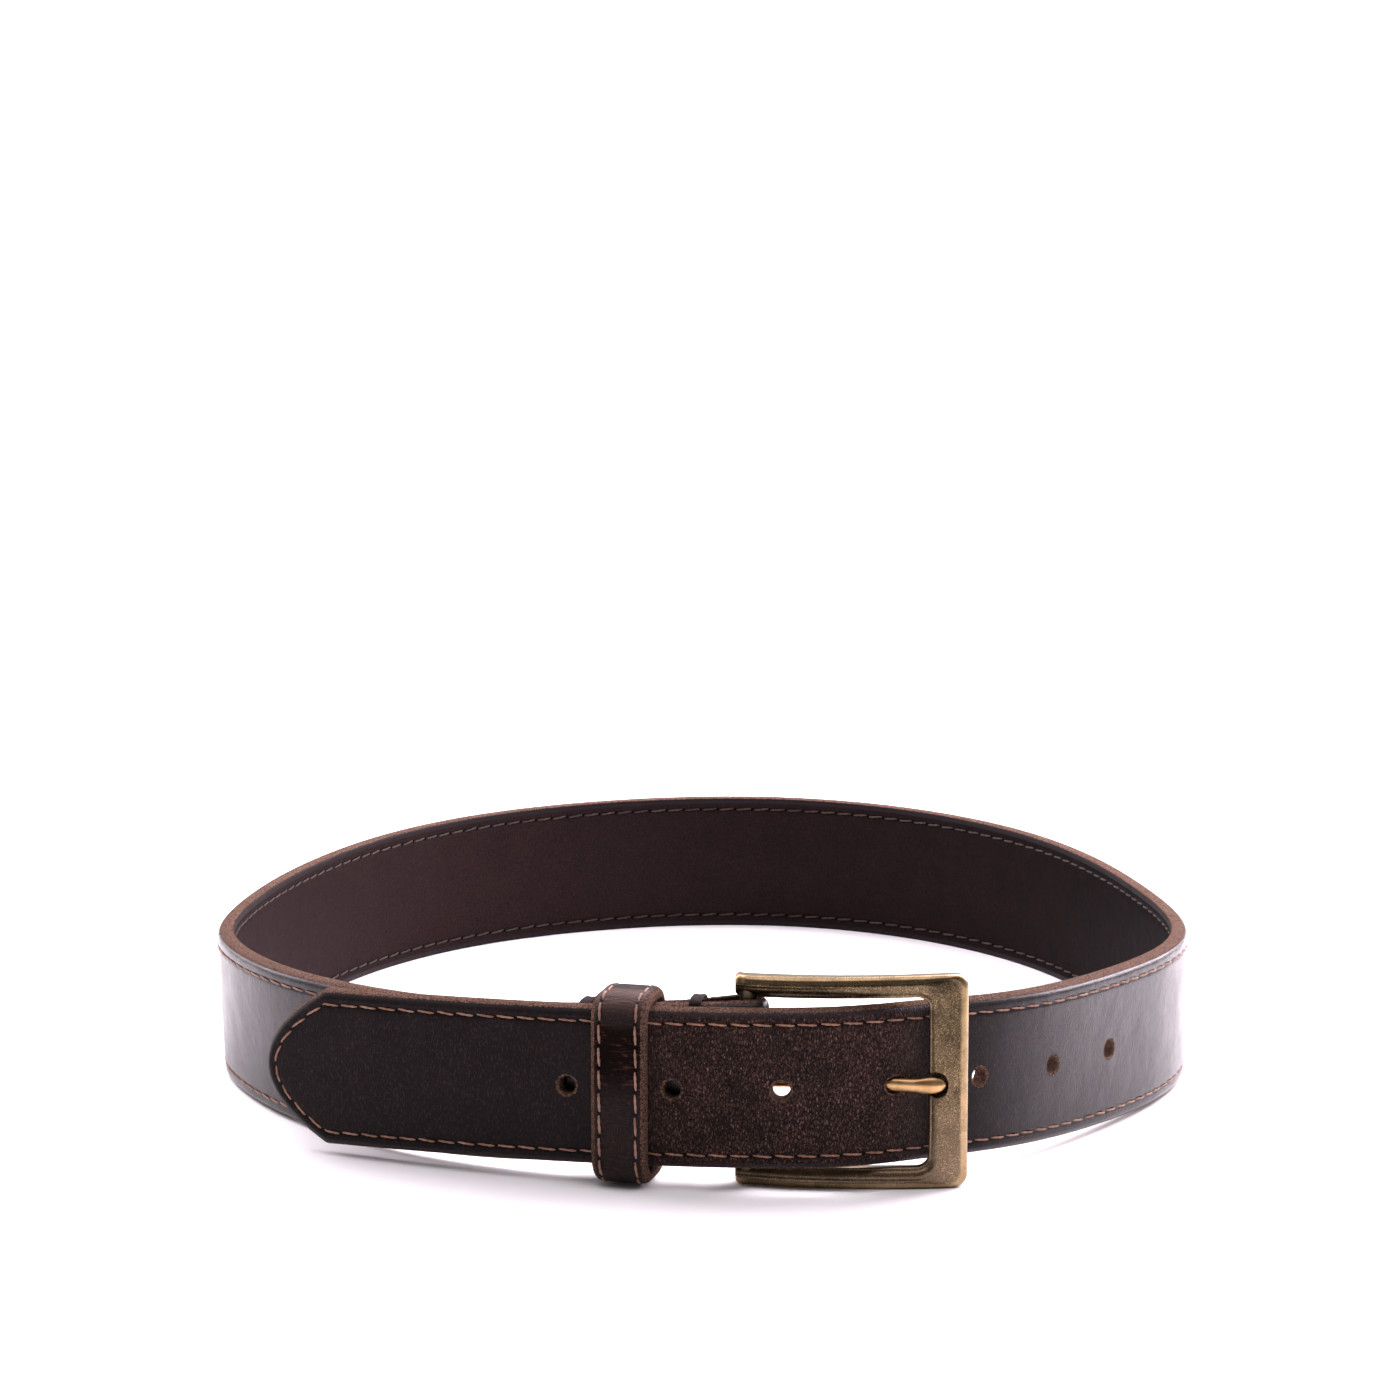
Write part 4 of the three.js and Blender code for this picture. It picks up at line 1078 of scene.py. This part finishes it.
class Finish:
    """A procedural material: short calls that add nodes, with lengths in millimetres."""

    def __init__(self, name):
        self.material = bpy.data.materials.new(name)
        self.material.use_nodes = True
        self.nodes, self.links = self.material.node_tree.nodes, self.material.node_tree.links
        self.shader = self.nodes["Principled BSDF"]
        place_in_object = self.nodes.new("ShaderNodeTexCoord").outputs["Object"]
        self.position = self.vector("SCALE", place_in_object, scale=1 / MM)

    def put(self, socket, value):
        if isinstance(value, bpy.types.NodeSocket):
            self.links.new(value, socket)
        else:
            socket.default_value = value

    def vector(self, operation, first, second=(0.0, 0.0, 0.0), scale=1.0):
        node = self.nodes.new("ShaderNodeVectorMath")
        node.operation = operation
        self.put(node.inputs[0], first)
        if operation == "SCALE":
            node.inputs[3].default_value = scale
        else:
            self.put(node.inputs[1], second)
        return node.outputs["Vector"]

    def times(self, first, second, clamp=False):
        return self.maths("MULTIPLY", first, second, clamp)

    def plus(self, first, second, clamp=False):
        return self.maths("ADD", first, second, clamp)

    def maths(self, operation, first, second=0.0, clamp=False):
        node = self.nodes.new("ShaderNodeMath")
        node.operation, node.use_clamp = operation, clamp
        self.put(node.inputs[0], first)
        self.put(node.inputs[1], second)
        return node.outputs[0]

    def field(self, name):
        node = self.nodes.new("ShaderNodeAttribute")
        node.attribute_name = name
        return node.outputs["Fac"]

    def step(self, value, low, high, first=0.0, last=1.0):
        """From first at low to last at high, eased at both."""
        node = self.nodes.new("ShaderNodeMapRange")
        node.interpolation_type = "SMOOTHSTEP"
        for socket, number in zip(node.inputs, (value, low, high, first, last)):
            self.put(socket, number)
        return node.outputs[0]

    def noise(self, per_mm, detail=3.0, rough=0.55, stretch=(1, 1, 1), warp=0.0):
        node = self.nodes.new("ShaderNodeTexNoise")
        self.put(node.inputs["Vector"], self.vector("MULTIPLY", self.position, stretch))
        settings = {"Scale": per_mm, "Detail": detail, "Roughness": rough, "Distortion": warp}
        for socket, number in settings.items():
            node.inputs[socket].default_value = number
        return node.outputs[0]

    def pebbles(self, per_mm, stretch, warp):
        """Distance to the crease between grains."""
        node = self.nodes.new("ShaderNodeTexVoronoi")
        node.feature = "DISTANCE_TO_EDGE"
        where = self.vector("MULTIPLY", self.position, stretch)
        bend = self.nodes.new("ShaderNodeTexNoise")
        bend.inputs["Scale"].default_value = per_mm * 0.8
        self.put(bend.inputs["Vector"], where)
        shift = self.vector("SUBTRACT", bend.outputs["Color"], (0.5, 0.5, 0.5))
        where = self.vector("ADD", where, self.vector("SCALE", shift, scale=warp))
        self.put(node.inputs["Vector"], where)
        node.inputs["Scale"].default_value = per_mm
        return node.outputs["Distance"]

    def mix(self, factor, first, second):
        node = self.nodes.new("ShaderNodeMix")
        node.data_type = "RGBA"
        self.put(node.inputs["Factor"], factor)
        self.put(node.inputs[6], first)
        self.put(node.inputs[7], second)
        return node.outputs[2]

    def bump(self, height, depth, under=None):
        """Relief of a depth in millimetres."""
        node = self.nodes.new("ShaderNodeBump")
        node.inputs["Distance"].default_value = depth * MM
        self.put(node.inputs["Height"], height)
        if under is not None:
            self.put(node.inputs["Normal"], under)
        return node.outputs[0]

    def finish(self, **sockets):
        for name, value in sockets.items():
            self.put(self.shader.inputs[name.replace("_", " ")], value)
        return self.material


LEATHER_GLOSS = (1.0, 0.92, 0.98, 1.0)


def leather(name, dark, warm, pitch, keeper=False):
    f = Finish(name)
    along, edge, gap, raw, flesh = (f.field(n) for n in ("along", "edge", "gap", "raw", "flesh"))
    cloud = f.noise(0.03, 4, 0.6)
    blotch = f.noise(0.11, 5, 0.6)
    fine = f.noise(2.0, 4, 0.68, stretch=(1.4, 1.4, 0.5))
    speckle = f.noise(2.6, 2, 0.6, stretch=(1, 1, 0.7))
    pebble = f.pebbles(1.25, (1.45, 1.45, 0.62), 0.8)
    crease = f.step(pebble, 0.0, 0.25)
    worn = f.times(f.step(along, 86, 112), f.step(along, 152, 172, 1, 0))
    worn = f.times(worn, f.step(flesh, 0, 0.5, 1, 0))
    satin = f.step(along, 165, 215)  # the front of the belt is matt, and its bends are smooth
    colour = f.mix(f.step(blotch, 0.35, 0.68), dark, warm)
    if not keeper:
        colour = f.mix(worn, colour, f.mix(f.step(blotch, 0.3, 0.7), srgb(48, 34, 31), srgb(80, 57, 50)))
        # Painted light and shade: the flesh face is coloured darker towards the right of the belt and lighter
        # towards the left.
        inner = f.mix(f.step(along, 310, 640), srgb(9, 7, 7), srgb(36, 26, 26))
        inner = f.mix(f.step(blotch, 0.3, 0.7, 0, 0.035), inner, srgb(84, 62, 60))
        colour = f.mix(flesh, colour, inner)
        crease = f.maths("MAXIMUM", crease, flesh)
    fleck = f.step(fine, 0.5, 0.66)
    fleck = f.times(fleck, f.step(flesh, 0, 1, 1, 0.25))
    colour = f.mix(f.times(fleck, f.step(worn, 0, 1, 0.1, 0.85)), colour, srgb(126, 99, 90))
    pit = f.times(f.step(speckle, 0.42, 0.5, 1, 0), f.step(worn, 0, 1, 0.4, 0.8))
    colour = f.mix(pit, colour, srgb(12, 8, 8))
    if keeper:
        wrinkle = f.noise(0.9, 4, 0.6, stretch=(0.3, 0.3, 1.7), warp=0.8)
        deep = f.times(f.step(along, -7, 9), f.step(along, 14, 19, 1, 0))
        colour = f.mix(f.times(deep, 0.85), colour, srgb(13, 7, 6))
        # Painted highlight: lighter streaks along the wrinkles, strongest in the band's upper part.
        painted_wrinkle_highlight = f.times(f.step(wrinkle, 0.56, 0.64), f.step(deep, 0, 1, 0.12, 0.5))
        colour = f.mix(painted_wrinkle_highlight, colour, srgb(84, 54, 42))
        # Painted highlight: lighter along the top of the band's front, where it turns over the strap.
        colour = f.mix(f.times(f.step(along, 18, 22), 0.5), colour, srgb(84, 60, 50))
    shade = f.times(f.maths("SUBTRACT", 1.0, crease), f.step(worn, 0, 1, 0.12, 0.85))
    colour = f.mix(shade, colour, srgb(14, 8, 8))
    band = f.times(f.step(edge, 1.2, 1.8, 1, 0), f.step(raw, 0.0, 0.3, 1, 0))
    colour = f.mix(f.times(band, 0.8), colour, srgb(22, 16, 18))
    colour = needle_holes(f, colour, gap, pitch)
    fibre = f.noise(2.0, 6, 0.78, stretch=(1, 1, 1.2))
    tan = f.mix(f.step(fibre, 0.4, 0.6), srgb(50, 33, 27), srgb(124, 95, 81))
    tan = f.mix(f.step(f.noise(4.5, 3, 0.7), 0.52, 0.66, 0, 0.75), tan, srgb(176, 148, 130))
    torn = f.plus(raw, f.step(fibre, 0.3, 0.7, -0.3, 0.3))
    is_raw = f.step(torn, 0.4, 0.6)
    colour = f.mix(is_raw, colour, tan)
    rough = f.maths("SUBTRACT", f.step(band, 0, 1, 0.42, 0.36), f.step(satin, 0, 1, 0, 0.2))
    rough = f.plus(rough, f.step(blotch, 0.3, 0.7, -0.03, 0.05))
    rough = f.plus(rough, f.step(worn, 0, 1, 0.0, 0.12))
    rough = f.plus(rough, f.step(flesh, 0, 1, 0.0, 0.35))
    rough = f.plus(rough, f.step(is_raw, 0, 1, 0.0, 0.45), clamp=True)
    grain = f.bump(f.times(crease, f.step(worn, 0, 1, 0.06, 1.0)), 0.3)
    grain = f.bump(fine, 0.05, grain)
    grain = f.bump(cloud, 0.8, grain)
    if keeper:
        grain = f.bump(wrinkle, 0.6, grain)
    fuzz = f.times(f.plus(fibre, f.noise(4.5, 3, 0.7)), is_raw)
    grain = f.bump(fuzz, 0.7, grain)
    shine = f.step(deep, 0, 1, 0.12, 0.02) if keeper else f.step(satin, 0, 1, 0.07, 0.22)
    shine = f.times(shine, f.step(flesh, 0, 1, 1.0, 0.08))
    shine = f.times(shine, f.step(is_raw, 0, 1, 1.0, 0.15))
    shine = f.plus(shine, f.times(band, 0.12))
    f.finish(Base_Color=colour, Roughness=rough, Normal=grain)
    return f.finish(Specular_IOR_Level=shine, Specular_Tint=LEATHER_GLOSS)


def needle_holes(f, colour, gap, pitch):
    """Painted shade along the stitch line: the groove darkened, and dark dimples where the needle went
    through.
    """
    phase = f.maths("FRACT", f.maths("DIVIDE", f.field("run"), pitch))
    near = f.maths("MINIMUM", phase, f.maths("SUBTRACT", 1.0, phase))
    far = f.times(near, pitch)
    away = f.maths("SQRT", f.plus(f.times(far, far), f.times(gap, gap)))
    # Painted shade in the stitch groove.
    groove = f.step(f.maths("ABSOLUTE", gap), 0.25, 0.7, 0.5, 0.0)
    colour = f.mix(groove, colour, srgb(20, 14, 13))
    # Painted shade in the needle holes.
    return f.mix(f.step(away, 0.3, 0.55, 0.96, 0.0), colour, srgb(7, 5, 5))


def thread_finish(name, light, dark, shine):
    f = Finish(name)
    tint = f.mix(f.step(f.noise(0.22, 3), 0.35, 0.65), light, dark)
    fibre = f.noise(7.0, 4, 0.7)
    tint = f.mix(f.step(fibre, 0.5, 0.75, 0, 0.6), tint, shine)
    tint = f.mix(f.step(fibre, 0.28, 0.42, 0.6, 0), tint, srgb(70, 44, 32))
    return f.finish(Base_Color=tint, Roughness=0.62, Specular_IOR_Level=0.3, Normal=f.bump(fibre, 0.05))


def lace_finish():
    f = Finish("waxed_lace")
    fibre = f.noise(2.5, 4, 0.7)
    tint = f.mix(f.step(fibre, 0.35, 0.65), srgb(18, 13, 13), srgb(44, 32, 30))
    return f.finish(Base_Color=tint, Roughness=0.75, Specular_IOR_Level=0.08, Normal=f.bump(fibre, 0.12))


def antique_brass():
    f = Finish("antique_brass")
    wear = f.field("wear")
    speck = f.noise(3.6, 3, 0.6)
    cloud = f.noise(0.16, 4, 0.6)
    tint = f.mix(f.step(cloud, 0.35, 0.65), srgb(62, 53, 40), srgb(90, 77, 59))
    gold = f.times(f.step(speck, 0.52, 0.64), f.step(cloud, 0.3, 0.7, 0.3, 0.7))
    tint = f.mix(gold, tint, srgb(172, 146, 108))
    tint = f.mix(f.step(speck, 0.36, 0.45, 0.5, 0), tint, srgb(44, 35, 27))
    # Painted reflection: the frame is coloured lighter towards its bottom, with brighter gold flecks there,
    # standing in for the bright floor it faces.
    height = f.nodes.new("ShaderNodeSeparateXYZ")
    f.links.new(f.position, height.inputs[0])
    low = f.step(height.outputs["Z"], 3, 26, 0.55, 0)
    tint = f.mix(low, tint, f.mix(gold, srgb(120, 102, 84), srgb(190, 166, 136)))
    rubbed = f.step(f.noise(0.25, 3, 0.5), 0.3, 0.7, 0.55, 1)
    rubbed = f.times(f.step(wear, 0.3, 1.0), rubbed, clamp=True)
    tint = f.mix(f.times(rubbed, 0.6), tint, srgb(192, 163, 122))
    rough = f.step(rubbed, 0, 1, 0.36, 0.25)
    return f.finish(Base_Color=tint, Metallic=1.0, Roughness=rough, Normal=f.bump(speck, 0.012))


def bright_brass():
    f = Finish("bright_brass")
    cloud = f.noise(0.4, 4, 0.6)
    tint = f.mix(f.step(cloud, 0.35, 0.65), srgb(168, 132, 88), srgb(196, 158, 112))
    pit = f.noise(5.0, 3, 0.6)
    tint = f.mix(f.step(pit, 0.62, 0.74, 0, 0.5), tint, srgb(96, 74, 50))
    rough = f.step(cloud, 0.3, 0.7, 0.3, 0.4)
    return f.finish(Base_Color=tint, Metallic=1.0, Roughness=rough, Normal=f.bump(pit, 0.01))


def steel_finish(name, tint):
    f = Finish(name)
    scratch = f.noise(2.0, 4, 0.6, stretch=(1, 1, 0.2))
    colour = f.mix(f.step(scratch, 0.35, 0.65, 0, 0.4), tint, srgb(104, 94, 82))
    return f.finish(Base_Color=colour, Metallic=1.0, Roughness=f.step(scratch, 0.3, 0.7, 0.25, 0.4))


# ---- the belt

belt_leather = leather("oiled_leather", srgb(16, 12, 12), srgb(23, 18, 18), STITCH_PITCH)
band_leather = leather("keeper_leather", srgb(24, 16, 14), srgb(34, 21, 17), KEEPER_PITCH, keeper=True)
thread = thread_finish("waxed_thread", srgb(118, 84, 68), srgb(146, 108, 90), srgb(190, 154, 134))
# The same waxed thread for the stitches on the flesh face, painted darker: painted shade.
painted_shade_thread = thread_finish("painted_shade_thread", srgb(40, 30, 26), srgb(58, 44, 36), srgb(92, 72, 60))
make_strap(belt_leather)
make_edge_threads(thread, painted_shade_thread)
waxed_lace = lace_finish()
make_lacing("left", -LACING_LEFT, waxed_lace)
make_lacing("right", LACING_RIGHT, waxed_lace)
make_keeper(band_leather, thread, steel_finish("staple_steel", srgb(170, 166, 158)))
make_buckle_frame(antique_brass())
make_heel_bar(steel_finish("bar_steel", srgb(72, 60, 48)))
make_prong(bright_brass())


# ---- floor, light and camera

FLOOR_HALF = 60.0  # metres
FLOOR_WHITE = (0.93, 0.93, 0.93, 1)
WORLD_SEEN = 1.15  # the white that the camera sees beyond the floor
WORLD_FRONT = 0.1  # what lights the belt, on the camera's side and behind
WORLD_BACK = 0.95
BOX_TINT = (1.0, 0.88, 0.98)
CAMERA_LENS = 123.4
CAMERA_PLACE = (-0.000575, -1.22636, 0.3097)
CAMERA_TILT = 10.08  # degrees down


def make_floor():
    mesh = bpy.data.meshes.new("floor")
    h = FLOOR_HALF
    mesh.from_pydata([(-h, -h, 0), (h, -h, 0), (h, h, 0), (-h, h, 0)], [], [(0, 1, 2, 3)])
    floor = in_scene("floor", mesh)
    f = Finish("white_floor")
    apart = f.nodes.new("ShaderNodeVectorMath")
    apart.operation = "LENGTH"
    f.links.new(f.position, apart.inputs[0])
    glow = f.step(apart.outputs["Value"], 700, 1500, 0, 0.5)  # the floor runs out into the white surroundings
    f.finish(Base_Color=FLOOR_WHITE, Emission_Color=FLOOR_WHITE, Emission_Strength=glow, Roughness=0.6)
    mesh.materials.append(f.finish(Specular_IOR_Level=0.2))


def softbox(name, x, y, z, size, power, look=(0, 0, 0.02)):
    lamp = bpy.data.lights.new(name, "AREA")
    lamp.color = BOX_TINT
    lamp.shape, lamp.size, lamp.size_y, lamp.energy = "RECTANGLE", size[0], size[1], power
    light = in_scene(name, lamp)
    light.location = (x, y, z)
    aim = np.array(look) - np.array([x, y, z])
    light.rotation_euler = Vector(aim).to_track_quat("-Z", "Y").to_euler()


def make_world():
    """White all round for the camera; for everything else bright behind and dimmer on the camera's side."""
    world = bpy.data.worlds.new("studio")
    bpy.context.scene.world = world
    world.use_nodes = True
    nodes, links = world.node_tree.nodes, world.node_tree.links
    back = nodes["Background"]
    coordinates = nodes.new("ShaderNodeTexCoord")
    split = nodes.new("ShaderNodeSeparateXYZ")
    links.new(coordinates.outputs["Generated"], split.inputs[0])
    ramp = nodes.new("ShaderNodeMapRange")
    ramp.interpolation_type = "SMOOTHSTEP"
    for socket, number in zip(ramp.inputs[1:5], (-0.75, 0.1, WORLD_FRONT, WORLD_BACK)):
        socket.default_value = number
    links.new(split.outputs["Y"], ramp.inputs[0])
    path = nodes.new("ShaderNodeLightPath")
    choose = nodes.new("ShaderNodeMix")
    choose.inputs[3].default_value = WORLD_SEEN
    links.new(path.outputs["Is Camera Ray"], choose.inputs[0])
    links.new(ramp.outputs[0], choose.inputs[2])
    links.new(choose.outputs[0], back.inputs["Strength"])
    back.inputs["Color"].default_value = (1, 1, 1, 1)


make_floor()
make_world()
for name, side in (("left", -1), ("right", 1)):
    softbox(name, side * 0.45, 0.3, 0.36, (0.5, 0.8), 11 + 3.5 * side, look=(side * 0.3, 0.2, 0))
softbox("overhead", 0, 0.3, 1.5, (1.2, 1.2), 3)
softbox("front", 0, -0.5, 0.9, (1.0, 0.5), 3.2, look=(0, -0.4, 0))

camera = in_scene("camera", bpy.data.cameras.new("camera"))
camera.data.lens, camera.data.sensor_width = CAMERA_LENS, 36
camera.data.clip_end = 200
camera.location = CAMERA_PLACE
camera.rotation_euler = (math.radians(90 - CAMERA_TILT), 0, 0)
bpy.context.scene.camera = camera
bpy.context.scene.view_settings.view_transform = "Standard"
